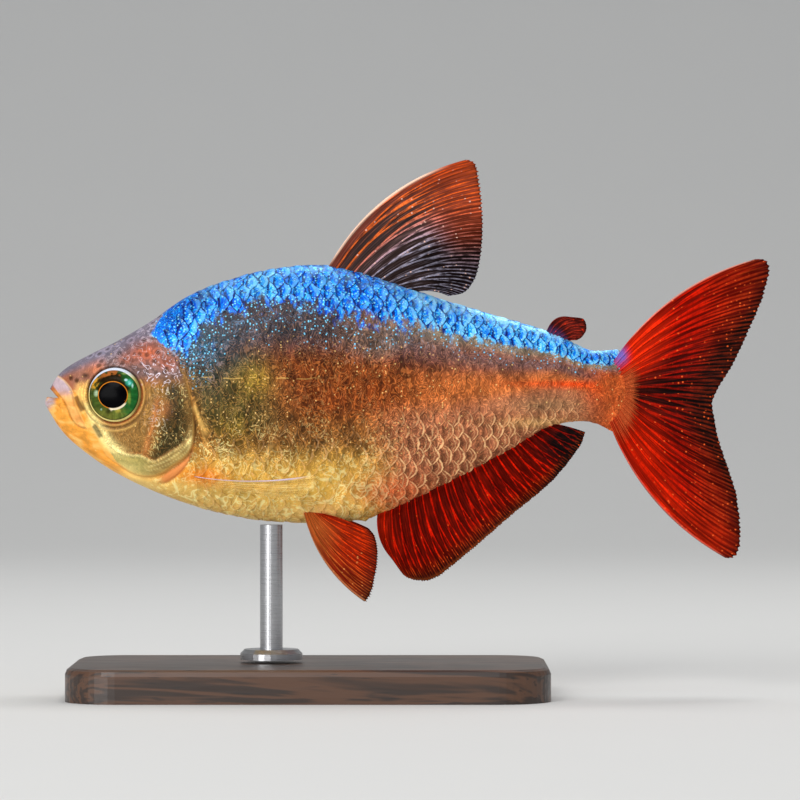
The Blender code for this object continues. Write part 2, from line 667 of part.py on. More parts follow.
def build_stand():
    """A flat wooden base with rounded corners and one short steel rod with a foot."""
    mesh_data = bmesh.new()
    half_length, half_width = BASE_LENGTH / 2, BASE_WIDTH / 2
    outline = []
    for corner_x, corner_y, start in ((1, 1, 0), (-1, 1, 90), (-1, -1, 180), (1, -1, 270)):
        for k in range(BASE_CORNER_STEPS + 1):
            angle = math.radians(start + 90 * k / BASE_CORNER_STEPS)
            x = corner_x * (half_length - BASE_CORNER) + BASE_CORNER * math.cos(angle)
            y = corner_y * (half_width - BASE_CORNER) + BASE_CORNER * math.sin(angle)
            outline.append(Vector((BASE_CENTRE_ALONG - TOTAL_LENGTH / 2 + x, y, 0)) * MM)
    bottom = mesh_data.faces.new([mesh_data.verts.new(point) for point in outline])
    made = bmesh.ops.extrude_face_region(mesh_data, geom=[bottom])["geom"]
    top = [item for item in made if isinstance(item, bmesh.types.BMVert)]
    bmesh.ops.translate(mesh_data, verts=top, vec=(0, 0, BASE_THICK * MM))
    rim = [edge for edge in mesh_data.edges if all(vertex in top for vertex in edge.verts)]
    bmesh.ops.bevel(mesh_data, geom=rim, offset=BASE_BEVEL * MM, segments=2, profile=0.5, affect="EDGES")
    object_from("stand_base", mesh_data, "wood").data.set_sharp_from_angle(angle=math.radians(40))

    belly = belly_height(ROD_ALONG, 0) + EYE_LINE_HEIGHT
    foot = BASE_THICK + GAP
    profile = (
        (ROD_FOOT_RADIUS, foot),
        (ROD_FOOT_RADIUS, foot + ROD_FOOT_THICK * 0.6),
        (ROD_FOOT_RADIUS - 0.4, foot + ROD_FOOT_THICK),
        (ROD_RADIUS, foot + ROD_FOOT_THICK),
        (ROD_RADIUS, belly - GAP),
    )
    turns = [2 * math.pi * k / ROD_SIDES for k in range(ROD_SIDES)]
    x = ROD_ALONG - TOTAL_LENGTH / 2
    rings = [
        [Vector((x + radius * math.cos(a), radius * math.sin(a), height)) * MM for a in turns]
        for radius, height in profile
    ]
    joined_rings("stand_rod", rings, "steel").data.set_sharp_from_angle(angle=math.radians(40))


def main():
    clear_scene()
    pieces = build_body()
    build_head_details(pieces)
    build_gill_covers(bpy.data.objects["head"])
    build_middle_fins()
    for name, side in (("left", -1), ("right", 1)):
        build_pelvic_fin(f"pelvic_fin_{name}", side)
        build_pectoral_fin(f"pectoral_fin_{name}", side)
    build_stand()


main()
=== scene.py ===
"""Looks of a life-size Colombian tetra on a display stand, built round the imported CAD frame.

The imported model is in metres. The fish's snout points to -X, its left side faces -Y, and +Z is up. The
functions below work in millimetres: "along" is the distance behind the tip of the lower jaw, "up" is the
height over the line through the eyes' centres, and "side" is the distance from the middle plane.
"""

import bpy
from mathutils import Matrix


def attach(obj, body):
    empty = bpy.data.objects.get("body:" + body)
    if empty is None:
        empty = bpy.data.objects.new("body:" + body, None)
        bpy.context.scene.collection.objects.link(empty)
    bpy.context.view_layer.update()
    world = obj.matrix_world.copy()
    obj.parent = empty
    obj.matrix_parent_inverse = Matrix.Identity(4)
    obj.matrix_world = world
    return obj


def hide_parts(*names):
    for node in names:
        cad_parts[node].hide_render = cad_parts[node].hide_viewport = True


bl_info = {
    "name": "Colombian Tetra Model",
    "version": (1, 0, 0),
    "blender": (4, 5, 0),
    "location": "View3D > Sidebar > Tetra",
    "description": "Dresses the packed frame of a Colombian tetra with skin, scales, fins and eyes",
    "category": "Add Mesh",
}

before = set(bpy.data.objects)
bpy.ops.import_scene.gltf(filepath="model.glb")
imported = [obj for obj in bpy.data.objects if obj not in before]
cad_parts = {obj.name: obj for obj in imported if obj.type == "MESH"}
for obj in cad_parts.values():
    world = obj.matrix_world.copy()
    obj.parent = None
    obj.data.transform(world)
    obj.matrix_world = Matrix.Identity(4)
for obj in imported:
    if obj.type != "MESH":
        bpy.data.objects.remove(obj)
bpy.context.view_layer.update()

import math

import bpy
import numpy as np
from bpy.props import FloatProperty, FloatVectorProperty, PointerProperty
from bpy.types import Operator, Panel, PropertyGroup
from mathutils import Vector

MM = 0.001
SENSOR_WIDTH = 36.0
TOTAL_LENGTH = 70.0
EYE_LINE_HEIGHT = 29.0

# The body's outline at its landmarks: along, top, bottom, half width, height of the widest point
SECTIONS = (
    (0.0, -0.30, -1.15, 0.55, -0.70),
    (0.55, 0.85, -1.95, 1.10, -0.60),
    (1.20, 1.90, -3.00, 1.50, -0.50),
    (2.30, 2.85, -4.30, 2.00, -0.50),
    (4.60, 4.10, -6.15, 2.75, -0.60),
    (6.85, 5.20, -7.60, 3.25, -0.80),
    (10.1, 7.10, -9.20, 3.75, -1.00),
    (13.8, 9.60, -10.60, 4.10, -0.80),
    (18.4, 11.35, -11.78, 4.25, -0.40),
    (23.0, 12.35, -12.30, 4.15, 0.00),
    (27.0, 12.55, -12.33, 3.85, 0.20),
    (31.5, 11.60, -11.85, 3.40, 0.40),
    (38.0, 9.35, -9.05, 2.75, 0.50),
    (45.0, 7.25, -5.35, 2.10, 0.80),
    (48.9, 6.05, -3.10, 1.75, 1.00),
    (52.5, 4.40, -2.68, 1.45, 0.85),
    (55.3, 4.45, -3.95, 1.10, 0.60),
)
BACK_FULLNESS = ((0.0, 2.2), (6.85, 2.7), (13.8, 2.3), (27.0, 2.0), (55.3, 2.0))
BELLY_FULLNESS = ((0.0, 2.2), (6.85, 2.1), (20.0, 2.1), (31.5, 1.9), (45.0, 1.8), (55.3, 2.0))
STALK_START, BODY_END, TAIL_ROOT_BULGE = 51.1, 55.3, 1.2

# Lines on the head in the side view, from the photograph's landmarks
GILL_EDGE = (
    (12.63, 4.15), (13.15, 2.43), (13.67, 1.40), (14.35, -0.93), (14.53, -3.94), (14.08, -5.50), (13.24, -6.35),
    (12.44, -6.90), (11.14, -7.68), (9.85, -7.88), (8.56, -7.62), (7.27, -6.78), (5.98, -5.75), (5.20, -4.32),
    (4.43, -2.78), (3.95, -1.25),
)
CHEEK_EDGE = (
    (4.30, -1.35), (5.02, -2.78), (5.90, -4.20), (6.60, -5.00), (7.30, -5.46), (8.40, -5.84), (9.25, -5.84),
    (9.90, -6.12), (10.60, -6.42), (11.30, -6.14), (12.20, -5.62), (13.20, -5.02), (14.30, -4.30),
)
UNDER_COVER = ((10.12, -6.90), (11.10, -6.62), (12.05, -6.20), (13.00, -5.60), (13.70, -4.95), (14.36, -3.95))
PREOPERCLE = ((11.14, 0.58), (11.00, -0.96), (10.62, -2.78), (10.24, -4.07), (9.85, -5.36))
GILL_MEMBRANE = ((14.50, -4.71), (14.36, -5.61), (13.85, -6.65), (13.08, -7.55), (11.79, -8.45), (10.60, -8.53))
SHOULDER = (
    (13.2, 2.41), (13.73, 1.35), (14.11, 0.1), (14.5, -0.96),
    (15.02, -2.78), (15.66, -4.71), (16.18, -6.0),
)
SHOULDER_RIB = ((14.62, -1.22), (15.30, -2.80), (16.05, -4.45))
JAW_FOLD = ((1.16, 1.85), (1.80, 1.45), (2.41, 0.83), (2.73, 0.29), (3.04, -0.89), (3.46, -1.81), (4.08, -3.04))
JAW_EDGE = ((1.50, 0.04), (1.99, -0.58), (2.35, -1.32), (2.73, -2.30), (3.34, -2.98), (4.08, -3.22))
MUZZLE_FOLD = ((2.98, 0.10), (3.40, -0.80), (3.78, -1.54), (4.28, -2.22), (4.82, -2.85), (5.62, -4.18))
LATERAL_LINE = (
    (13.8, 1.59), (26.4, 1.59), (36.0, 1.45), (48.0, 1.25),
    (50.4, 1.06), (54.1, 0.43), (56.0, 0.05),
)
MOUTH = (
    (-0.6, 0.6), (0.5, 0.56), (0.76, 0.3), (1.02, -0.02),
    (1.3, -0.27), (0.8, -0.28), (0.28, -0.2), (-0.6, -0.4),
)
LOWER_LIP = ((0.20, -0.86), (0.75, -0.60), (1.40, -0.62), (1.85, -1.00))
NOSTRILS = ((2.62, 1.62), (3.20, 1.38))
EYE = (6.85, 0.0)
EYE_OPENING, EYE_PIT = 2.66, 0.95
IRIS_MAP_WIDTH = 5.5
PUPIL_BLACK = (0.0003, 0.0003, 0.0008)

# Borders of the markings: along, and the share of the body's depth or, for the stripe, the height
BLUE_LINE = (
    (10, 0.93), (12, 0.8), (13.5, 0.8), (15, 0.88), (18.5, 0.95), (23, 0.94), (26, 0.92), (28.4, 0.9),
    (33, 0.885), (38, 0.86), (45, 0.81), (52, 0.79), (54.5, 0.84), (56, 0.93),
)
STRIPE_LINE = ((20, 2.0), (36, 1.0), (42, 0.7), (52, 0.55), (56, 0.25))
DUSK_LINE = ((20, 0.67), (30, 0.655), (38, 0.65), (44, 0.63), (56, 0.62))
ARC_LINE = ((28, 0.46), (36, 0.44), (44, 0.34), (50, 0.28))

# Fins: root, margin and bow of the first and last ray, as in the frame
DORSAL_BASE, DORSAL_BOW = (27.3, 35.9), (1.85, 0.25)
DORSAL_MARGIN = (
    (40.8, 22.75), (41.6, 22.35), (41.95, 20.6), (42.25, 17.6), (42.2, 14.8), (41.95, 12.8), (41.5, 11.2),
    (40.5, 9.9), (38.9, 9.5),
)
ADIPOSE_BASE, ADIPOSE_BOW = (48.3, 50.35), (0.75, 0.05)
ADIPOSE_MARGIN = ((51.0, 7.40), (51.95, 7.30), (52.22, 6.35), (51.75, 5.55), (51.25, 5.25))
ANAL_BASE, ANAL_BOW = (32.0, 49.4), (-0.65, 0.05)
ANAL_MARGIN = (
    (33.9, -16.3), (34.7, -17.55), (36.2, -18.05), (37.8, -17.7),
    (40.7, -15.4), (45.1, -11.6), (48.9, -8.4), (51.6, -5.0), (52.1, -3.6),
)
TAIL_MARGIN = (
    (68.7, 13.15), (69.6, 13.05), (69.95, 12.2), (69.7, 10.7), (69.0, 8.6), (66.5, 3.25), (64.75, 0.35),
    (64.35, -0.76), (64.45, -1.7), (65.0, -4.3), (66.7, -9.4), (67.15, -13.0), (67.05, -14.7), (66.5, -15.7),
    (65.7, -15.8)
)
PELVIC_BASE, PELVIC_BOW = (25.0, 26.9), (-1.0, 0.15)
PELVIC_MARGIN = ((31.0, -19.9), (31.5, -19.2), (32.05, -16.6), (32.1, -15.0), (31.8, -13.7), (31.2, -12.95))
PELVIC_SIDE, PELVIC_SPLAY = 1.35, 0.30
PECTORAL_BASE, PECTORAL_BOW = ((14.25, -7.75), (14.15, -8.95)), (-0.55, 0.20)
PECTORAL_MARGIN = ((26.2, -7.55), (26.5, -8.2), (25.6, -9.4), (23.6, -10.1))
PECTORAL_FLARE = 2.139
# Shares of a fin's width or length over which its edges are rounded and its root is fleshy
OUTER_RAY_ROUNDING, MARGIN_ROUNDING, ROOT_ROUNDING, FLESHY_ROOT = 0.012, 0.03, 0.02, 0.06
NOTCHES = 160

# Scales and small forms of the skin
SCALES_START, SCALE_ROWS, KEEL_GAP = 9.0, 14, 0.25
NAPE_START, NAPE_LEAN = 3.6, 0.45
SNOUT_UP, SNOUT_ROUNDING = -0.72, 0.45
PAPILLA_PLACE = 30.75


# Settings


def paint(red, green, blue):
    """A colour picked on screen, 0 to 255, as the linear values that shaders use."""
    picked = [value / 255 for value in (red, green, blue)]
    return tuple(v / 12.92 if v <= 0.04045 else ((v + 0.055) / 1.055) ** 2.4 for v in picked)


def colour(label, about, *screen):
    kind = {"subtype": "COLOR", "size": 3, "min": 0, "max": 1}
    return FloatVectorProperty(name=label, description=about, default=paint(*screen), **kind)


def measure(label, about, default):
    return FloatProperty(name=label, description=about, unit="LENGTH", default=default)


class TetraBody(PropertyGroup):
    """Sizes and colours of the skin and scales."""

    coat: measure("Coat depth", "How far the skin lies inside the frame", 0.0001)
    scale_pitch: measure("Scale pitch", "From scale to scale along a row", 0.00134)
    row_pitch: measure("Row pitch", "From row to row", 0.00122)
    scale_rise: measure("Scale rise", "Height of a scale's rear edge over the skin", 0.00008)
    copper: colour("Copper", "Ground colour of the flank", 192, 102, 48)
    ochre: colour("Ochre", "Lower front flank", 146, 94, 42)
    gold: colour("Gold", "Belly", 255, 212, 96)
    cream: colour("Cream", "Belly's edge and scale edges", 255, 218, 130)
    leaf: colour("Leaf", "Green patch on the belly", 236, 214, 108)
    rose: colour("Rose", "Rear lower flank", 168, 100, 68)
    blush: colour("Blush", "Skin over the front of the anal fin", 214, 104, 60)
    taupe: colour("Taupe", "Greyish band before the tail", 150, 112, 78)
    olive: colour("Olive", "Front flank", 78, 72, 38)
    moss: colour("Moss", "Bright patch on the front flank", 150, 122, 38)
    rust: colour("Rust", "Middle of the flank", 142, 64, 22)
    flame: colour("Flame", "Stripe towards the tail", 214, 90, 32)
    coal: colour("Coal", "Core of the stripe", 226, 66, 12)
    dusk: colour("Dusk", "Dark band over the stripe", 114, 50, 16)
    slate: colour("Slate", "Between back and front flank", 58, 56, 64)
    sand: colour("Sand", "Between back and rear flank", 138, 125, 104)
    blue: colour("Electric blue", "Back", 0, 98, 240)
    azure: colour("Azure", "Lower edge of the back", 10, 186, 255)
    # Cyan also paints the sheen along the back's top edge and the glints on its scales
    cyan: colour("Cyan", "Specks on the back", 176, 234, 255)
    teal: colour("Teal", "Front flank, under the blue", 32, 70, 88)
    navy: colour("Navy", "Gaps between the back's scales", 14, 34, 112)
    forehead: colour("Forehead", "Top of the head", 114, 108, 122)
    snout: colour("Snout", "Upper jaw's lobe and lips", 196, 172, 178)
    nose: colour("Nose", "Round the nostrils", 154, 104, 86)
    ember: colour("Ember", "Patch behind the eye", 154, 76, 48)
    lilac: colour("Lilac", "Behind the eye", 108, 84, 80)
    amber: colour("Amber", "Jaws and throat", 252, 168, 66)
    honey: colour("Honey", "Between jaw and eye", 252, 196, 108)
    cheek: colour("Cheek", "Below the eye", 150, 110, 56)
    lemon: colour("Lemon", "Bright bones of the cheek", 255, 236, 156)
    gill: colour("Gill cover", "Dark part of the gill cover", 58, 50, 24)
    fringe: colour("Fringe", "Lower band of the gill cover", 172, 158, 88)
    membrane: colour("Membrane", "Skin under the gill cover", 230, 144, 78)
    stalk: colour("Stalk", "End of the body, over the tail fin's rays", 188, 82, 36)
    shoulder: colour("Shoulder", "Band behind the gill cover", 176, 120, 52)
    orange: colour("Orange", "Skin at the pectoral fin's root", 252, 142, 34)
    arc: colour("Arc", "Bright rear edges of the lower scales", 250, 196, 138)
    pearl: colour("Pearl", "Fine bright worm lines on the head", 250, 238, 252)
    # Painted shade for creases, pits, nostrils, the mouth, and each scale's covered front
    groove: colour("Painted shade", "Folds and pits", 44, 28, 16)
    # Painted highlights along the head's ridges, folds and edges; the lateral line takes this colour too
    bone: colour("Bone", "Fine bright ridges", 250, 200, 110)


class TetraFins(PropertyGroup):
    """Sizes and colours of the fins."""

    web_half: measure("Web half thickness", "Half the membrane's thickness", 0.00009)
    ray_half: measure("Ray half thickness", "How far a ray stands out of the membrane", 0.00013)
    red: colour("Ray red", "Rays of the tail and anal fins", 212, 24, 2)
    flame: colour("Flame", "Bright roots of the red fins", 255, 50, 10)
    wine: colour("Web red", "Membranes of the tail fin", 128, 12, 2)
    smoke: colour("Smoke", "Dark membranes", 20, 10, 9)
    pale: colour("Pale edge", "Leading edges and specks", 240, 160, 140)
    rust: colour("Rust ray", "Outer rays of the tail, front rays of the dorsal fin", 180, 62, 20)
    silver: colour("Silver ray", "Rear rays of the dorsal fin", 196, 172, 194)


class TetraEye(PropertyGroup):
    """Sizes and colours of the eyes."""

    radius: measure("Radius", "Radius of the eyeball", 0.00262)
    depth: measure("Depth", "Half thickness of the eyeball", 0.0012)
    sink: measure("Sink", "How deep the eyeball's middle sits", 0.00045)
    emerald: colour("Emerald", "Rear of the iris", 34, 98, 42)
    moss: colour("Moss", "Low and front part of the iris", 66, 84, 32)
    gold: colour("Gold", "Upper front of the iris", 232, 164, 44)
    umber: colour("Umber", "Shaded top of the iris", 34, 18, 8)
    ring: colour("Ring", "Thin ring round the pupil", 226, 132, 30)
    silver: colour("Silver", "Upper rim", 206, 214, 228)
    brass: colour("Brass", "Lower rim", 255, 238, 150)


class TetraStage(PropertyGroup):
    """Camera and light."""

    frame_height: measure("Frame height", "What the camera sees at the fish", 0.077136)
    lens: FloatProperty(name="Lens", description="Focal length in millimetres", default=200.0)
    key: FloatProperty(name="Key light", description="Power of the key light", default=2.2)
    world: FloatProperty(name="Room light", description="Strength of the light from all sides", default=0.44)
    floor: colour("Floor", "Pale floor and backdrop", 214, 213, 210)


def settings(name):
    return getattr(bpy.context.scene, f"tetra_{name}")


# Curves and forms


def follow(table, x, column=1):
    """A smooth curve through a table's rows, read at x, which is in the first column."""
    rows = np.array(table, dtype=float)
    xs, ys = rows[:, 0], rows[:, column]
    last = len(xs) - 1
    before, after = np.maximum(np.arange(last + 1) - 1, 0), np.minimum(np.arange(last + 1) + 1, last)
    slopes = (ys[after] - ys[before]) / (xs[after] - xs[before])
    x = np.clip(x, xs[0], xs[-1])
    i = np.clip(np.searchsorted(xs, x, side="right") - 1, 0, last - 1)
    width = xs[i + 1] - xs[i]
    t = (x - xs[i]) / width
    return (
        ys[i] * (1 + 2 * t) * (1 - t) ** 2
        + ys[i + 1] * t * t * (3 - 2 * t)
        + width * slopes[i] * t * (1 - t) ** 2
        - width * slopes[i + 1] * t * t * (1 - t)
    )


def along_line(points, t):
    """Points at t, from 0 to 1, of a smooth curve through side-view points, spaced by its length."""
    line = np.array(points, dtype=float)
    lengths = np.concatenate(([0.0], np.cumsum(np.hypot(*np.diff(line, axis=0).T))))
    table = np.column_stack((lengths, line))
    reach = np.asarray(t) * lengths[-1]
    return follow(table, reach, 1), follow(table, reach, 2)


def fade(value, start, end):
    """Rises smoothly from 0 at start to 1 at end."""
    t = np.clip((value - start) / (end - start), 0, 1)
    return t * t * (3 - 2 * t)


def near(along, up, points, steps=48):
    """Distance to a smooth line in the side view, positive on its left, and the place along it, 0 to 1."""
    places = np.linspace(0, 1, steps + 1)
    xs, ys = along_line(points, places)
    best = np.full(np.shape(along), 1e9)
    sign = np.ones_like(best)
    where = np.zeros_like(best)
    for k in range(steps):
        dx, dy = xs[k + 1] - xs[k], ys[k + 1] - ys[k]
        length = dx * dx + dy * dy
        t = np.clip(((along - xs[k]) * dx + (up - ys[k]) * dy) / length, 0, 1)
        ex, ey = along - xs[k] - t * dx, up - ys[k] - t * dy
        distance = np.hypot(ex, ey)
        closer = distance < best
        best = np.where(closer, distance, best)
        sign = np.where(closer, np.sign(dx * ey - dy * ex + 1e-12), sign)
        where = np.where(closer, (k + t) / steps, where)
    return best * sign, where


def unit(values):
    return np.clip(values, 0, 1)


def rounded(share):
    """A quarter circle's height, 0 at its foot and 1 from a share of 1 on."""
    return np.sqrt(1 - (1 - unit(share)) ** 2)


def crease(distance, width):
    """1 on a line, fading to 0 a little over a width away."""
    return np.exp(-((distance / width) ** 2))


def section(along):
    """Top, bottom, half width, height of the widest point, and the fullness of back and belly."""
    top, bottom, half, middle = (follow(SECTIONS, along, column) for column in (1, 2, 3, 4))
    return top, bottom, half, middle, follow(BACK_FULLNESS, along), follow(BELLY_FULLNESS, along)


def half_width(along, up):
    top, bottom, half, middle, back, belly = section(along)
    edge, fullness = np.where(up >= middle, top, bottom), np.where(up >= middle, back, belly)
    share = np.minimum(np.abs((up - middle) / (edge - middle)), 1.0)
    return half * (1 - share**fullness) ** (1 / fullness) + cheek_swell(along, up)


def cheek_swell(along, up):
    """How far the cheek and the gill cover stand out of the sections."""
    offsets = (along - 11.6) / 3.6, (up + 3.2) / 6.2
    first, second = (np.minimum(np.abs(offset), 1.0) for offset in offsets)
    return 0.25 * (1 - first * first) ** 2 * (1 - second * second) ** 2


def belly_height(along, side):
    _, bottom, half, middle, _, belly = section(along)
    return middle + (bottom - middle) * (1 - np.minimum(np.abs(side) / half, 1.0) ** belly) ** 0.5


def height_share(along, up):
    """0 at the belly's edge, 1 at the back's."""
    top, bottom = section(along)[:2]
    return (up - bottom) / (top - bottom)


def body_surface(along, angle, coat):
    """Points of the skin before its relief. The angle is 0 at the right side and a quarter turn at the back."""
    top, bottom, half, middle, back, belly = section(along)
    across, rise = np.cos(angle), np.sin(angle)
    top, bottom = top - coat * 0.7, bottom + coat * 0.7
    edge, fullness = np.where(rise >= 0, top, bottom), np.where(rise >= 0, back, belly)
    up = middle + (edge - middle) * np.abs(rise)
    tail = fade(along, 52.8, BODY_END)
    half = half * (1 - tail) + 0.34 * tail
    side = half * np.abs(across) ** (2 / fullness)
    side = side + cheek_swell(along, up)
    side = np.maximum(side - coat, side * 0.3)
    share = np.clip((along - STALK_START) / (BODY_END - STALK_START), 0, 1)
    height = (2 * up - top - bottom) / (top - bottom)
    shifted = along + TAIL_ROOT_BULGE * share * share * (1 - height * height)
    normal_side = side / np.maximum(half, 0.3) ** 2
    normal_up = (up - middle) / (edge - middle) ** 2
    size = np.hypot(normal_side, normal_up) + 1e-9
    return shifted, up, side * np.sign(across), normal_side / size * np.sign(across), normal_up / size


def relief(along, up):
    """How far the head's folds, plates and ridges stand out of the body's plain form, in millimetres."""
    gill, gill_place = near(along, up, GILL_EDGE)
    gill_fade = fade(gill_place, 0.0, 0.06) * (1 - fade(gill_place, 0.72, 0.9))
    rear = fade(along, 9.0, 12.5)
    height = 0.24 * gill_fade * rear * fade(-gill, -0.02, 0.16) * (1 - fade(-gill, 0.2, 3.4))
    height -= gill_fade * (0.09 + 0.09 * fade(gill_place, 0.2, 0.35)) * crease(gill - 0.15, 0.15)
    membrane, place = near(along, up, GILL_MEMBRANE)
    height -= 0.16 * crease(membrane - 0.05, 0.12) * fade(place, 0.0, 0.15) * (1 - fade(place, 0.8, 1.0))
    cheek, place = near(along, up, CHEEK_EDGE)
    height += 0.09 * crease(cheek, 0.15) * (1 - fade(place, 0.4, 0.6)) + 0.03 * crease(cheek, 0.12)
    height -= 0.07 * crease(cheek + 0.30, 0.13) * (1 - fade(place, 0.4, 0.6))
    ridge, _ = near(along, up, PREOPERCLE)
    height += 0.09 * crease(ridge, 0.16) - 0.09 * crease(ridge - 0.36, 0.15)
    shoulder, place = near(along, up, SHOULDER)
    height += 0.07 * crease(shoulder, 0.38) * (1 - fade(place, 0.8, 1.0))
    rib, _ = near(along, up, SHOULDER_RIB)
    height += 0.10 * crease(rib, 0.18)
    fold, _ = near(along, up, JAW_FOLD)
    jaw, _ = near(along, up, JAW_EDGE)
    height += 0.12 * crease(fold + 0.30, 0.25) * fade(along, 0.7, 1.5) - 0.13 * crease(fold - 0.04, 0.09)
    height += (
        0.12 * crease(jaw - 0.22, 0.2) * fade(along, 1.5, 2.3)
        - 0.18 * crease(jaw + 0.04, 0.1) * fade(along, 1.4, 2.2)
    )
    lip, _ = near(along, up, LOWER_LIP)
    height += 0.14 * crease(lip, 0.30) - 0.10 * crease(lip + 0.42, 0.12) * (along < 1.9)
    muzzle, _ = near(along, up, MUZZLE_FOLD)
    height += 0.05 * crease(muzzle - 0.3, 0.12) - 0.10 * crease(muzzle, 0.12)
    out = np.hypot(along - EYE[0], up - EYE[1])
    height += 0.12 * crease(out - 2.9, 0.15) - 0.08 * crease(out - 3.17, 0.12) + 0.07 * crease(out - 3.45, 0.16)
    for nostril in NOSTRILS:
        distance = np.hypot(along - nostril[0], (up - nostril[1]) * 0.8)
        height += 0.06 * crease(distance - 0.26, 0.09) - 0.26 * crease(distance, 0.15)
    return height


def to_world(along, up, side):
    return np.stack((along - TOTAL_LENGTH / 2, side, EYE_LINE_HEIGHT + up), axis=-1) * MM


def from_world(points):
    points = points / MM
    return points[:, 0] + TOTAL_LENGTH / 2, points[:, 2] - EYE_LINE_HEIGHT, points[:, 1]


# Modelling helpers


def pick(item=None):
    """Selects one object alone and makes it the active one, or deselects all."""
    bpy.ops.object.select_all(action="DESELECT")
    if item:
        item.select_set(True)
        bpy.context.view_layer.objects.active = item


def turn_outwards():
    """Turns all faces of the mesh in edit mode outwards, and leaves edit mode."""
    bpy.ops.mesh.select_all(action="SELECT")
    bpy.ops.mesh.normals_make_consistent(inside=False)
    bpy.ops.object.mode_set(mode="OBJECT")


def new_grid(name, columns, rows):
    """A flat grid of faces, ready to be folded into shape, and each vertex's share across and up it."""
    pick()
    bpy.ops.mesh.primitive_grid_add(x_subdivisions=columns, y_subdivisions=rows, size=2, calc_uvs=False)
    made = bpy.context.object
    made.name = name
    made.data.name = name
    flat = vertices(made)
    u = (flat[:, 0] + 1) / 2
    v = (flat[:, 1] + 1) / 2
    return made, u, v


def vertices(item):
    flat = np.empty(len(item.data.vertices) * 3, dtype=np.float32)
    item.data.vertices.foreach_get("co", flat)
    return flat.reshape(-1, 3).astype(float)


def reshape(item, points):
    item.data.vertices.foreach_set("co", points.astype(np.float32).ravel())
    item.data.update()


def close_up(item, distance, fill=False):
    """Merges the edges that were folded together, fills open ends and turns every face outwards."""
    pick(item)
    bpy.ops.object.mode_set(mode="EDIT")
    bpy.ops.mesh.select_all(action="SELECT")
    bpy.ops.mesh.remove_doubles(threshold=distance)
    bpy.ops.mesh.select_all(action="SELECT")
    bpy.ops.mesh.dissolve_degenerate(threshold=1e-8)
    if fill:
        bpy.ops.mesh.select_all(action="DESELECT")
        bpy.ops.mesh.select_non_manifold(extend=False)
        bpy.ops.mesh.fill_holes(sides=0)
    turn_outwards()
    bpy.ops.object.shade_smooth()


def set_value(item, name, values):
    layer = item.data.attributes.new(name, "FLOAT", "POINT")
    layer.data.foreach_set("value", np.clip(values, 0, 1).astype(np.float32))


def set_map(item, name, u, v):
    """A UV map from a pair of numbers at each vertex."""
    corners = np.empty(len(item.data.loops), dtype=np.int32)
    item.data.loops.foreach_get("vertex_index", corners)
    layer = item.data.uv_layers.new(name=name)
    layer.data.foreach_set("uv", np.stack((u[corners], v[corners]), axis=1).astype(np.float32).ravel())


def finish_piece(piece, material, slot, *nodes):
    piece.data.materials.append(material)
    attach(piece, "root")
    if nodes:
        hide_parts(*nodes)


# Node helpers


class Value:
    """A number or colour in a node tree. Arithmetic with it adds nodes to the tree."""

    def __init__(self, tree, socket):
        self.tree, self.socket = tree, socket

    def math(self, operation, *others, clamp=False):
        return self.tree.put("Math", (self, *others), operation=operation, use_clamp=clamp)[0]

    def __add__(self, other):
        return self.math("ADD", other)

    def __sub__(self, other):
        return self.math("SUBTRACT", other)

    def __rsub__(self, other):
        return self.tree.put("Math", (other, self), operation="SUBTRACT")[0]

    def __mul__(self, other):
        return self.math("MULTIPLY", other)

    def clipped(self):
        return self.math("ADD", 0.0, clamp=True)

    def ramp(self, low, high):
        """0 under low and 1 over high, or the other way round."""
        ends = (0.0, 1.0) if low < high else (1.0, 0.0)
        values = (self, min(low, high), max(low, high), *ends)
        return self.tree.put("MapRange", values, interpolation_type="SMOOTHSTEP")[0]

    def band(self, low, high):
        return self.ramp(low - 0.04, low) * self.ramp(high + 0.02, high - 0.02)


class Outputs:
    """A node's outputs, each as a value."""

    def __init__(self, tree, sockets):
        self.tree, self.sockets = tree, sockets

    def __getitem__(self, key):
        return Value(self.tree, self.sockets[key])


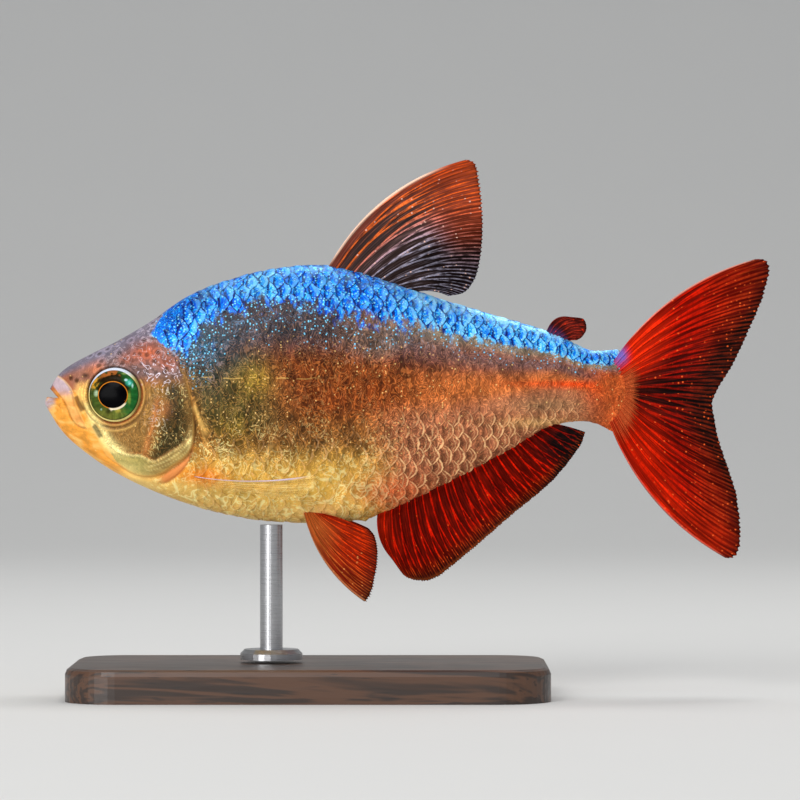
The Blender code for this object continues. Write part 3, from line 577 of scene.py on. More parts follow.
class Tree:
    """A node tree, with a short call for each kind of node that the looks are made of."""

    def __init__(self, inner):
        self.inner = inner

    def feed(self, socket, value):
        """Links a value to an input, or sets the input to a constant."""
        if isinstance(value, Value):
            self.inner.links.new(value.socket, socket)
        else:
            socket.default_value = (*value[:3], 1.0) if socket.type == "RGBA" else value

    def put(self, kind, ins=(), **options):
        """Adds a node, sets its options, feeds its inputs and returns its outputs."""
        made = self.inner.nodes.new(f"ShaderNode{kind}")
        for name, option in options.items():
            setattr(made, name, option)
        for key, value in ins.items() if isinstance(ins, dict) else enumerate(ins):
            self.feed(made.inputs[key], value)
        return Outputs(self, made.outputs)

    def group(self, name, **ins):
        """Adds a node group. An underscore in an input's name stands for a space."""
        ins = {key.replace("_", " "): value for key, value in ins.items()}
        return self.put("Group", ins, node_tree=bpy.data.node_groups[name])

    def mask(self, name):
        return self.put("Attribute", attribute_name=name)["Fac"]

    def position(self):
        return self.put("TexCoord")["Object"]

    def stretch(self, where, scale, rotation=(0.0, 0.0, 0.0)):
        return self.put("Mapping", {"Vector": where, "Rotation": rotation, "Scale": scale})[0]

    def vector(self, *values):
        return self.put("CombineXYZ", values)[0]

    def noise(self, where, scale, detail=2.0, distortion=0.0, roughness=0.5):
        grain = {"Detail": detail, "Distortion": distortion, "Roughness": roughness}
        return self.put("TexNoise", {"Vector": where, "Scale": scale, **grain})["Fac"]

    def cells(self, where, scale):
        return self.put("TexVoronoi", {"Vector": where, "Scale": scale, "Randomness": 0.9})

    def mix(self, share, first, second, mode="MIX"):
        """Lays the second colour over the first one by a share from 0 to 1."""
        ins, options = {0: share, 6: first, 7: second}, {"blend_type": mode, "clamp_factor": True}
        return self.put("Mix", ins, data_type="RGBA", **options)[2]

    def shade(self, colour, tone):
        """Multiplies a colour by a number."""
        return self.mix(1.0, colour, self.put("CombineColor", (tone, tone, tone))[0], "MULTIPLY")

    def curls(self, where, scale, turns, wide, swirl=1.4):
        """Curly hairlines: the contour lines of a swirled noise, 1 on a line."""
        noise = self.noise(where, scale, detail=1.0, distortion=swirl)
        return (noise * turns).math("PINGPONG", 0.5).ramp(0.5 - wide, 0.5)

    def dots(self, where, scale, low, high):
        """Fine dots: the middles of scattered cells, and a chance from 0 to 1 drawn for each."""
        cells = self.cells(where, scale)
        return cells["Distance"].ramp(high, low), self.put("SeparateColor", (cells["Color"],))[0]

    def surface(self, **ins):
        """Feeds the shader. An underscore in an input's name stands for a space."""
        for key, value in ins.items():
            self.feed(self.inner.nodes["Principled BSDF"].inputs[key.replace("_", " ")], value)

    def bump(self, strength, distance, height):
        self.surface(Normal=self.put("Bump", {"Strength": strength, "Distance": distance, "Height": height})[0])


def new_group(name, inputs, outputs):
    """A shader node group with named sockets, what is given to it, and what it hands out."""
    inner = bpy.data.node_groups.new(name, "ShaderNodeTree")
    for label, default in inputs.items():
        kind = "Float" if isinstance(default, float) else "Color"
        socket = inner.interface.new_socket(label, in_out="INPUT", socket_type=f"NodeSocket{kind}")
        socket.default_value = default if kind == "Float" else (*default, 1.0)
    for label in outputs:
        kind = "Color" if label == "Color" else "Float"
        inner.interface.new_socket(label, in_out="OUTPUT", socket_type=f"NodeSocket{kind}")
    tree = Tree(inner)
    given = Outputs(tree, inner.nodes.new("NodeGroupInput").outputs)
    return tree, given, inner.nodes.new("NodeGroupOutput").inputs


def new_material(name, **ins):
    made = bpy.data.materials.new(name)
    made.use_nodes = True
    tree = Tree(made.node_tree)
    tree.surface(**ins)
    return made, tree


# Markings of the skin and the scales, and the light and shade painted on them


def band(value, start, end, soft):
    """1 between start and end, with soft borders."""
    return fade(value, start - soft, start + soft) * (1 - fade(value, end - soft, end + soft))


def markings(along, up, side):
    """The strength, 0 to 1, of each marking at places on the body, and of the painted highlights and shade."""

    def past(start, end):
        return fade(along, start, end)

    def above(start, end):
        return fade(up, start, end)

    def spot(x, z, wide, tall):
        return np.exp(-(((along - x) / wide) ** 2) - ((up - z) / tall) ** 2)

    def line(points):
        return near(along, up, points)

    share = height_share(along, up)
    out = np.hypot(along - EYE[0], up - EYE[1])
    gill, gill_place = line(GILL_EDGE)
    cheek, cheek_place = line(CHEEK_EDGE)
    ridge, ridge_place = line(PREOPERCLE)
    membrane, _ = line(GILL_MEMBRANE)
    shoulder, shoulder_place = line(SHOULDER)
    rib, rib_place = line(SHOULDER_RIB)
    fold, _ = line(JAW_FOLD)
    jaw, jaw_place = line(JAW_EDGE)
    muzzle, muzzle_place = line(MUZZLE_FOLD)
    lip, _ = line(LOWER_LIP)
    under, _ = line(UNDER_COVER)
    nape = fade(along - NAPE_LEAN * (up - NAPE_START), 11.4, 12.8)
    behind = np.where(up > NAPE_START, nape, fade(gill, -0.1, 0.2) * past(8.0, 12.0))
    body = unit(np.where(along < 8, 0.0, np.where(along > 18, 1.0, behind)))
    head = 1 - body
    cover = head * fade(-gill, -0.05, 0.15)
    blue_line = follow(BLUE_LINE, along)
    blue_start = 10.1 + np.where(up < 5.8, 1.30 * (5.8 - up), 0.55 * (up - 5.8))
    blue_zone = fade(along - blue_start, -0.4, 0.8) * past(56.3, 54.6)
    stripe = follow(STRIPE_LINE, along)
    middle_jaw = (fold < 0.05) & (jaw > -0.02) & (up < 1.9)
    seen = {
        "ochre": body * band(share, 0.2, 0.48, 0.08) * past(37.0, 30.0),
        "olive": body * band(share, 0.34, 0.72, 0.08) * past(25.5, 19.5),
        "moss": body * unit(spot(20.2, 1.4, 2.0, 1.7) + 0.6 * spot(18.2, -3.4, 2.2, 2.0)) * 0.85,
        "rust": body * band(share, 0.4, 0.63, 0.08) * past(21.5, 26.0) * past(39.0, 32.0),
        "rose": body * fade(share, 0.5, 0.36) * past(30.0, 35.5),
        "gold": body * fade(share, 0.33, 0.14) * past(35.0, 28.0),
        "leaf": spot(17.3, -9.8, 3.6, 0.8) * 0.75 + spot(24.5, -9.5, 3.0, 1.0) * 0.15,
        # The belly's own pale edge, and a painted highlight low on the flank in front of the tail (the spot at
        # 47.5)
        "cream": fade(share, 0.12 + 0.06 * spot(14.0, -9.6, 4.0, 2.0), 0.03)
            * band(along, 7.5, 30.0, 2.0) * 0.95 + 0.3 * spot(47.5, -2.7, 3.4, 0.5),
        "blush": spot(33.2, -9.4, 4.0, 1.7) * body,
        "taupe": spot(48.6, -1.0, 4.4, 0.85) * 0.8,
        "flame": np.maximum(
            0.85 * crease(up - stripe - 0.2, 2.3) * past(30.0, 39.0), 0.8 * spot(24.8, 1.9, 3.4, 1.4)
        ),
        "coal": crease(up - stripe - 0.42 + 0.3 * past(52.0, 56.0), 0.34) * past(41.0, 52.0) * past(56.0, 54.0)
            + 0.7 * spot(53.6, 0.5, 1.6, 1.3) + past(54.0, 55.8) * above(1.6, 2.8)
            + 0.7 * past(52.8, 55.0) * above(-1.8, -3.0),
        "dusk": body * crease(share - follow(DUSK_LINE, along), 0.11 - 0.04 * past(29.0, 36.0))
            * past(20.2, 24.0) * (0.95 - 0.35 * past(34.0, 42.0)),
        "slate": body * fade(share, 0.61, 0.74) * past(40.0, 26.0),
        "teal": body * np.maximum(
            spot(15.2, 4.4, 3.4, 2.6), 0.6 * crease(share - blue_line + 0.14, 0.08) * past(28.0, 36.0)
        ),
        "sand": body * fade(
            share - 0.06 * past(31.0, 36.0) - 0.035 * band(along, 34.0, 44.0, 2.0), 0.61, 0.71
        ) * past(26.0, 40.0),
        "stalk": body * past(51.0, 54.6) * fade(share, 0.8, 0.66),
        "shoulder": np.maximum(
            body * fade(gill, 0.05, 0.25) * fade(shoulder, 0.9, 0.2) * (along < 17.5) * above(-7.2, -5.8)
            * (0.7 - 0.6 * above(-3.0, -0.5)),
            0.7 * crease(shoulder, 0.55) * (up < 2.9) * above(-6.4, -5.2)
        ),
        "orange": spot(15.0, -7.8, 2.4, 1.0) * fade(gill, 0.0, 0.3) + 0.5 * body * spot(26.4, -11.2, 1.8, 0.9),
        "nose": head * spot(3.6, 1.6, 2.0, 1.7),
        "forehead": head * fade(share, 0.82, 0.95),
        "lilac": head * above(0.4, 2.0) * past(4.5, 6.5),
        "cheek": cover * fade(out, 2.5, 3.2) * past(4.2, 5.6) * above(2.0, 0.4) * fade(cheek, -0.1, 0.5),
        "gill": cover * np.maximum(
            fade(ridge, 0.05, 1.35) * above(2.6, 0.2) * fade(cheek, -0.1, 0.4)
            * (1 - 0.6 * crease(gill + 0.2, 0.6)),
            0.4 * past(9.0, 11.5) * fade(-cheek, -0.1, 0.3)
        ),
        "ember": head * unit(
            spot(10.0, 4.0, 1.6, 1.0) + 0.6 * spot(12.0, 3.0, 0.8, 0.7) + 0.5 * spot(8.0, 3.4, 0.7, 0.5)
        ),
        "amber": head * above(0.7, -0.2) * unit(fade(-gill, 0.25, -0.2) + fade(muzzle, 0.2, -0.15))
            * past(14.0, 12.5),
        "honey": head * band(along, 3.2, 5.6, 0.5) * fade(muzzle, 0.0, 0.3) * above(1.6, 0.6)
            * above(-3.8, -2.2),
        "fringe": cover * fade(-cheek, -0.3, 0.1) * past(4.6, 6.4) * (1 - 0.3 * past(9.0, 11.5)),
        "snout": unit(middle_jaw * (0.12 + 0.88 * above(-0.7, 0.9))) * (along < 4.2),
        "lip": unit(1.4 * crease(lip, 0.46)) * past(1.25, 0.75),
        "membrane": fade(-membrane, -0.1, 0.15) * fade(gill, 0.0, 0.2) * past(10.4, 12.0) * past(15.1, 13.9)
            * (up < -4.0),
        "lemon": cover * unit(
            1.2 * crease(cheek - 0.02, 0.56) * fade(cheek_place, 0.52, 0.3)
            + (0.8 - 0.5 * fade(cheek_place, 0.5, 0.7)) * crease(cheek, 0.12) + 0.5 * crease(under, 0.07)
            + 0.3 * crease(under + 0.38, 0.05) + 0.2 * crease(under - 0.42, 0.05)
            + 0.4 * spot(14.2, -4.7, 0.3, 0.9) + 0.3 * spot(7.6, -7.0, 1.8, 0.5)
        ),
        "blue": blue_zone * np.maximum(
            fade(share - blue_line, -0.22 + 0.13 * past(30.0, 42.0), 0.06), 0.32 * spot(15.3, 4.3, 1.8, 1.3)
        ),
        "azure": blue_zone * unit(
            0.5 * crease(share - blue_line, 0.09) + 0.75 * past(31.0, 42.0) + 0.5 * spot(20.5, 10.8, 3.0, 2.0)
        ),
        # Painted sheen of light along the back's top edge
        "sheen": crease(share - 0.985, 0.05) * (0.35 + 0.65 * past(33.0, 37.0)) * blue_zone * past(13.0, 16.0),
        "pearl": head * unit(
            1.2 * spot(10.6, 2.0, 1.9, 1.0) + 0.28 * above(1.6, 3.0) * past(5.0, 7.0)
            + 0.5 * spot(11.6, 0.2, 0.4, 1.0) + 0.45 * spot(11.1, -2.2, 1.0, 1.0)
            + 0.6 * spot(13.0, 2.6, 0.9, 1.2)
        ),
        "fleck": unit(
            cover * (0.1 + 0.5 * crease(ridge - 0.7, 0.8) + 0.6 * crease(gill + 0.6, 0.8)) * above(2.0, 0.0)
            * fade(cheek, -0.2, 0.4) * fade(out, 3.2, 3.8)
            + 0.9 * body * spot(16.8, -5.6, 3.0, 2.2) + 0.8 * body * fade(share, 0.5, 0.22) * past(36.0, 28.0)
        ),
        "speck": blue_zone * fade(share - blue_line - 0.09 * past(29.0, 37.0), -0.3, -0.04)
            + spot(14.8, 3.4, 1.9, 2.0) * body,
        "copper_ridge": cover * np.maximum(
            crease(ridge, 0.32) * fade(ridge_place, 0.05, 0.2) * 0.6, 0.5 * spot(11.6, -1.4, 0.7, 0.8)
        ),
        # Painted highlights along the head's ridges, folds, jaw edges and eye rings
        "bone": (0.1 + 0.5 * fade(gill_place, 0.2, 0.32)) * crease(gill + 0.07, 0.08) * (gill_place > 0.1)
            * past(4.5, 6.0)
            + 0.55 * crease(rib, 0.22) * fade(rib_place, 1.0, 0.55)
            + 0.25 * crease(shoulder - 0.02, 0.08) * (shoulder_place < 0.9)
            + 0.55 * crease(fold, 0.07) * (up < 1.9) + 0.5 * crease(jaw - 0.1, 0.08) * (jaw_place > 0.05)
            + 0.55 * crease(muzzle - 0.28, 0.08) + 0.5 * crease(out - 2.92, 0.08) * (up < 1.5)
            + 0.5 * crease(out - 3.45, 0.09) * (up < -0.5) * (along < 9),
        # Painted shade in the head's creases, folds and eye grooves, and a dark spot behind the nostrils
        "groove": 0.2 * crease(gill - 0.17, 0.11) * past(10.0, 12.5) * (gill_place < 0.5)
            + 0.5 * (
                crease(shoulder - 0.42, 0.13) * (rib > 0.2) + crease(shoulder + 0.36, 0.12)
            ) * band(shoulder_place, 0.08, 0.85, 0.06)
            + 0.42 * crease(jaw + 0.06, 0.08) * (along > 1.2)
            + 0.8 * unit(crease(muzzle, 0.22) * 1.6) * (
                band(muzzle_place, 0.05, 0.36, 0.02) + band(muzzle_place, 0.7, 0.97, 0.02)
            )
            + 0.75 * crease(out - 2.7, 0.09) + 0.5 * crease(out - 3.15, 0.1) * (up < -0.5)
            + spot(4.05, 1.85, 0.32, 0.27),
        "bubble": head * above(0.8, 2.2) * past(3.0, 5.0),
        "bars": body * band(share, 0.2, 0.66, 0.12) * past(15.0, 20.0) * past(34.0, 27.0),
        "flow": head * past(15.0, 13.0) * above(0.8, -0.5)
            * unit(fade(-gill, 0.25, -0.2) + 0.35 * fade(-cheek, 0.1, 0.4)),
        "rough": np.clip(
            body * (0.6 + 0.4 * band(share, 0.2, 0.72, 0.1) * past(44.0, 34.0))
            + cover * (0.5 - 0.3 * fade(-cheek, 0.0, 0.4)) * above(2.0, 0.5) + head * above(0.5, 2.0) * 0.22,
            0.1, 1
        ),
    }
    smooth = 1 - unit(seen["membrane"] + 0.8 * seen["orange"])
    for name in ("rough", "fleck", "gold"):
        seen[name] = seen[name] * smooth
    seen["rough"] = seen["rough"] * (1 - 0.6 * np.maximum(seen["cream"], seen["gold"]))
    seen["flow"] = seen["flow"] * (1 - 0.7 * seen["cream"])
    # Painted shade in the nostrils and the mouth's opening
    for x, z in NOSTRILS:
        seen["groove"] = np.maximum(seen["groove"], 0.9 * crease(np.hypot(along - x, up - z), 0.2))
    inside_mouth = (np.abs(side) < half_width(along, up) - 0.4) & (along < 2.0) & (np.abs(up) < 0.62)
    seen["groove"] = unit(np.where(inside_mouth, 0.12, seen["groove"]))
    return seen


LAYERS = (
    "ochre", "olive", "moss", "rust", "rose", "gold", "leaf", "blush", "taupe", "flame", "coal", "dusk",
    "slate", "sand", "teal", "stalk", "shoulder", "orange", "lilac", "nose", "forehead", "cheek", "fringe",
    "gill", "ember", "amber", "honey", "snout", "cream", "membrane", "lemon"
)


def markings_group():
    """The colours of the markings, laid over one another, with fibres, streaks and specks, and painted
    highlights, glints and shade.
    """
    body = settings("body")
    group, given, out = new_group(
        "tetra_markings",
        {"Fill": 1.0, "Rim": 0.25},
        ("Color", "Shine", "Height"),
    )
    where = group.position()
    mixed = body.copper
    for name in LAYERS:
        mixed = group.mix(group.mask(name), mixed, getattr(body, name))
    mixed = group.mix(group.mask("copper_ridge"), mixed, paint(204, 122, 64))
    mixed = group.mix(group.mask("lip"), mixed, body.snout)

    # Upright dark streaks, broad clouds, curly bright fibres and fine pits
    tall = group.stretch(where, (1.0, 1.0, 0.42))
    streak = group.noise(tall, 1500.0, detail=4.0, distortion=0.8).ramp(0.34, 0.64)
    cloud = group.noise(where, 420.0, detail=2.5)
    lean = group.stretch(where, (1.0, 1.0, 0.7))
    fibre = group.curls(lean, 1000.0, 7.5, 0.24)
    pits = group.noise(where, 3600.0, detail=1.0).ramp(0.3, 0.5)
    rough = group.mask("rough")
    tone = (streak - 0.5) * rough * 0.75 + 1.0
    tone = tone * (cloud * 0.6 + 0.72)
    tone = tone * ((pits - 0.8) * rough * 0.5 + 1.0)
    bar = group.stretch(where, (1.0, 1.0, 0.2))
    bar = group.noise(bar, 600.0).ramp(0.58, 0.42)
    tone = tone * (bar * group.mask("bars") * -0.36 + 1.0)
    tone = tone * ((fibre - 0.3) * rough * 1.1 + 1.0)
    bubble = group.cells(where, 1150.0)["Distance"]
    bubble = bubble.band(0.34, 0.58) - bubble.ramp(0.36, 0.1)
    tone = tone * (bubble * group.mask("bubble") * 0.5 + 1.0)
    mixed = group.shade(mixed, tone)
    mixed = group.mix(fibre * rough * 0.18, mixed, paint(240, 152, 70))

    # Cream and brown streaks that run along the jaw and the throat
    flow = group.stretch(where, (0.22, 1.0, 1.0), rotation=(0.0, 0.72, 0.0))
    flow = group.noise(flow, 1100.0, detail=3.0, distortion=0.6)
    mixed = group.mix(group.mask("flow") * flow.ramp(0.46, 0.66) * 0.55, mixed, body.cream)
    mixed = group.mix(group.mask("flow") * flow.ramp(0.48, 0.32) * 0.45, mixed, body.shoulder)

    # Sparse bright worm lines on the head and the front of the flank
    loops = group.curls(where, 1050.0, 3.8, 0.13, 1.3)
    worms = loops * cloud.ramp(0.42, 0.52)
    broad = group.curls(where, 640.0, 4.2, 0.17, 1.0)
    dull = group.mask("gold") * (1.0 - broad)
    mixed = group.mix(dull * 0.45, mixed, paint(206, 146, 56))
    mixed = group.mix(broad * group.mask("gold") * 0.9, mixed, paint(255, 236, 160))
    mixed = group.mix(worms * group.mask("fleck") * 0.95, mixed, body.lemon)
    mixed = group.mix(loops * cloud.ramp(0.36, 0.46) * group.mask("pearl"), mixed, body.pearl)
    pale = worms * (rough - group.mask("fleck")).clipped() * 0.22
    mixed = group.mix(pale, mixed, paint(236, 164, 92))

    # The blue back: it breaks up downwards, its scales are parted by dark gaps and beaded with painted light
    patchy = group.noise(tall, 1300.0, detail=5.0, roughness=0.65)
    cover = (patchy.ramp(0.32, 0.68) * -0.75 + group.mask("blue") * 1.45).ramp(0.15, 0.6)
    bright = group.mask("azure") * 0.5 + fibre * 0.75
    bright = bright + streak * 0.34 + (1.0 - group.mask("blue")) * 0.35
    deep = group.mix(bright.ramp(0.0, 0.55), body.navy, body.blue)
    deep = group.mix(bright.ramp(0.55, 1.25), deep, body.azure)
    deep = group.mix(bright.ramp(1.25, 1.7), deep, body.cyan)
    gap = (streak * 0.5 + (given["Fill"] - 0.25)).ramp(0.0, 0.8)
    deep = group.mix(gap, body.navy, deep)
    # Painted highlight on the rims of the back's scales
    painted_rim_highlight = given["Rim"] * (group.mask("azure") * 0.8 + 0.1) * cloud.ramp(0.38, 0.54) * 0.9
    deep = group.mix(painted_rim_highlight, deep, paint(132, 214, 255))
    mixed = group.mix(cover, mixed, deep)
    tiny, drawn = group.dots(where, 3300.0, 0.16, 0.36)
    # Cyan sparkle on the back, thickest on the plates' rims: painted glints of light
    shimmer = gap * group.mask("azure") * 0.3 + given["Rim"] * 0.6
    shimmer = group.mask("blue") * (shimmer + 0.38)
    shimmer = tiny * (shimmer - drawn).ramp(0.0, 0.1)
    mixed = group.mix(shimmer, mixed, body.cyan)
    # Painted sheen along the back's top edge
    mixed = group.mix(group.mask("sheen") * patchy.ramp(0.38, 0.6) * 0.75, mixed, body.cyan)
    chance = group.mask("speck") * (streak * 0.9 + 0.4)
    speck = tiny * (chance - drawn).ramp(0.0, 0.06)
    mixed = group.mix(speck * 0.95, mixed, paint(124, 214, 250))
    mixed = group.mix(worms * group.mask("speck") * 0.45, mixed, body.azure)
    # Painted glints: small warm dots of light on the head and the flank
    chance = group.mask("fleck") * 0.2 + rough * 0.13
    glint = tiny * tiny * (drawn + chance).ramp(0.97, 1.0)
    glint = glint * (1.0 - group.mask("speck")).clipped() * 0.8
    mixed = group.mix(glint, mixed, paint(255, 208, 128))
    # Painted highlights on the ridges
    mixed = group.mix(group.mask("bone"), mixed, body.bone)
    # Painted shade in the creases
    mixed = group.mix(group.mask("groove") * 0.9, mixed, body.groove)

    # The lateral line, thin and broken, from the gill cover to under the dorsal fin
    place_at = group.put("SeparateXYZ", (where,))
    wander = cloud * 0.0007 + (EYE_LINE_HEIGHT + 1.59 - 0.35) * MM
    line = (place_at[2] - wander).math("ABSOLUTE").ramp(0.00007, 0.00002)
    line = line * place_at[0].ramp(-0.006, -0.012) * place_at[0].ramp(-0.0216, -0.0206) * streak.ramp(0.25, 0.6)
    mixed = group.mix(line * 0.5, mixed, body.bone)

    group.feed(out["Color"], mixed)
    group.feed(out["Shine"], group.mask("blue") * 0.25 + 0.05)
    group.feed(out["Height"], fibre * 0.5 + streak * 0.6)


def body_material(name, plates):
    """The painted skin. On scales it adds each plate's bright rear arc, its dark outline and a painted shadow
    on its front, under the rear edge of the scale ahead of it.
    """
    body = settings("body")
    gloss = {"Specular_IOR_Level": 0.06, "Coat_Weight": 0.04, "Coat_Roughness": 0.15}
    made, tree = new_material(name, Roughness=0.36, **gloss)
    fill, rim = 1.0, 0.25
    if plates:
        where = tree.position()
        wobble = tree.noise(where, 1500.0)
        plate = tree.put("SeparateXYZ", (tree.put("UVMap", uv_map="plate")[0],))
        length = (wobble - 0.5) * 0.34 + plate[0]
        across = (plate[1] * 2.0 - 1.0).math("ABSOLUTE")
        rear = length.ramp(0.84, 0.9) * length.ramp(1.0, 0.96) * across.ramp(0.92, 0.55)
        ring = length.ramp(0.62, 0.67) * length.ramp(0.74, 0.69) * across.ramp(0.85, 0.5)
        rim = length.ramp(0.6, 0.72) * length.ramp(0.94, 0.84)
        outline = length.ramp(0.84, 0.96).math("MAXIMUM", across.ramp(0.6, 0.92))
        fill = (1.0 - outline).clipped() * length.ramp(0.32, 0.62)
    colours = tree.group("tetra_markings", Fill=fill, Rim=rim)
    mixed = colours["Color"]
    if plates:
        tint = tree.mask("tint") * 0.3 + 0.85
        mixed = tree.shade(mixed, tint)
        rear = ring * 0.5 + rear
        worn = tree.noise(where, 480.0)
        arc = wobble.ramp(0.4, 0.58) * 0.6 + (worn * 1.6 - 0.45)
        arc = (rear * tree.mask("arc") * arc).clipped()
        mixed = tree.mix(arc, mixed, body.arc)
        # Painted shadow on the front of each plate, cast by the rear edge of the scale ahead
        overlap_shadow = length.ramp(0.66, 0.36) * (tree.mask("arc") * 0.42 + 0.06)
        mixed = tree.mix(overlap_shadow, mixed, body.groove)
    tree.surface(Base_Color=mixed, Metallic=colours["Shine"])
    tree.bump(0.4, 0.00006, colours["Height"])
    return made


# Skin and scales


def ring_places():
    """Where the skin's rings stand: closest on the head, closer again at the root of the tail."""
    tip = 0.6 * np.linspace(0, 1, 14, endpoint=False) ** 1.6
    head = np.arange(0.6, 15.6, 0.088)
    trunk = np.arange(15.6, 51.0, 0.45)
    stalk = np.linspace(51.0, BODY_END, 26)
    return np.concatenate((tip, head, trunk, stalk))


def even_angles(place, shares, coat):
    """Angles that part one ring of the skin into equal lengths."""
    angles = np.linspace(0, 2 * math.pi, 1441)
    _, up, side, _, _ = body_surface(np.full(len(angles), place), angles, coat)
    length = np.concatenate(([0.0], np.cumsum(np.hypot(np.diff(up), np.diff(side)))))
    return np.interp(shares * length[-1], length, angles)


class TETRA_OT_skin(Operator):
    """Makes the one skin of head, jaw, trunk and tail stalk"""

    bl_idname = "tetra.skin"
    bl_label = "Skin"

    around = 268

    def execute(self, context):
        coat = settings("body").coat / MM
        places = ring_places()
        skin, u, v = new_grid("body_skin", len(places) - 1, self.around)
        ring = np.round(u * (len(places) - 1)).astype(int)
        step = np.round(v * self.around).astype(int)
        shares = np.linspace(0, 1, self.around + 1)
        angles = np.array([even_angles(place, shares, coat) for place in places])
        along, angle = places[ring], angles[ring, step]
        x, up, side, normal_side, normal_up = body_surface(along, angle, coat)
        round_tip = np.sqrt(1 - (1 - unit(along / SNOUT_ROUNDING)) ** 2 * 0.96)
        up = SNOUT_UP + (up - SNOUT_UP) * round_tip
        side = side * round_tip
        lift = relief(x, up) * fade(np.abs(normal_side), 0.05, 0.5)
        out = np.hypot(x - EYE[0], up - EYE[1])
        lift = np.where(out < EYE_OPENING, -EYE_PIT * fade(-out, -EYE_OPENING, -2.48), lift)
        side = side + lift * normal_side
        up = up + lift * normal_up
        lips, _ = near(x, up, MOUTH + MOUTH[:1])
        lips = np.where(x < 1.5, np.abs(lips), 9.0)
        side = side * rounded(lips / 0.46 + 0.06)
        papilla = 0.42 * crease(x - PAPILLA_PLACE, 0.26) * fade(-normal_up, 0.93, 1.0)
        reshape(skin, to_world(x, up - papilla, side))
        close_up(skin, 2e-7, fill=True)
        self.cut_mouth(skin)
        along, up, side = from_world(vertices(skin))
        for name, values in markings(along, up, side).items():
            set_value(skin, name, values)
        nodes = ("head", "lower_jaw", "gill_cover_left", "gill_cover_right", "torso", "tail_stalk")
        finish_piece(skin, body_material("tetra_skin", False), "trunk", *nodes)
        return {"FINISHED"}

    def cut_mouth(self, skin):
        """Opens the mouth with a wedge through the snout."""
        pick()
        bpy.ops.mesh.primitive_circle_add(vertices=len(MOUTH), radius=1, fill_type="NGON")
        wedge = bpy.context.object
        outline = np.array(MOUTH)
        reshape(wedge, to_world(outline[:, 0], outline[:, 1], np.full(len(MOUTH), -3.0)))
        bpy.ops.object.mode_set(mode="EDIT")
        bpy.ops.mesh.select_all(action="SELECT")
        bpy.ops.mesh.extrude_region_move(TRANSFORM_OT_translate={"value": (0, 6 * MM, 0)})
        turn_outwards()
        pick(skin)
        cut = skin.modifiers.new("mouth", "BOOLEAN")
        cut.operation, cut.object, cut.solver = "DIFFERENCE", wedge, "EXACT"
        bpy.ops.object.modifier_apply(modifier=cut.name)
        bpy.data.objects.remove(wedge)


def flank_map(coat):
    """Positions of the left flank on a net of along and arc from the lateral line, for placing scales."""
    xs = np.linspace(SCALES_START, BODY_END, 420)
    arcs = np.linspace(-17.0, 16.0, 331)
    angles = np.linspace(-math.pi / 2, math.pi / 2, 260)
    grid = np.empty((len(xs), len(arcs), 3))
    ends = np.empty((len(xs), 2))
    for i, x in enumerate(xs):
        shifted, up, side, _, _ = body_surface(np.full(len(angles), x), math.pi - angles, coat)
        steps = np.concatenate(([0.0], np.cumsum(np.hypot(np.diff(up), np.diff(side)))))
        start = np.interp(follow(LATERAL_LINE, x), up, steps)
        own = steps - start
        ends[i] = own[0], own[-1]
        for k, values in enumerate((shifted, up, side)):
            grid[i, :, k] = np.interp(arcs, own, values)
    return xs, arcs, grid, ends


def read_net(xs, arcs, grid, x, arc):
    """Reads the flank's net between its points."""
    i = np.clip((x - xs[0]) / (xs[1] - xs[0]), 0, len(xs) - 1.001)
    j = np.clip((arc - arcs[0]) / (arcs[1] - arcs[0]), 0, len(arcs) - 1.001)
    i0, j0 = i.astype(int), j.astype(int)
    fi, fj = (i - i0)[..., None], (j - j0)[..., None]
    near_row = grid[i0, j0] * (1 - fj) + grid[i0, j0 + 1] * fj
    far_row = grid[i0 + 1, j0] * (1 - fj) + grid[i0 + 1, j0 + 1] * fj
    return near_row * (1 - fi) + far_row * fi


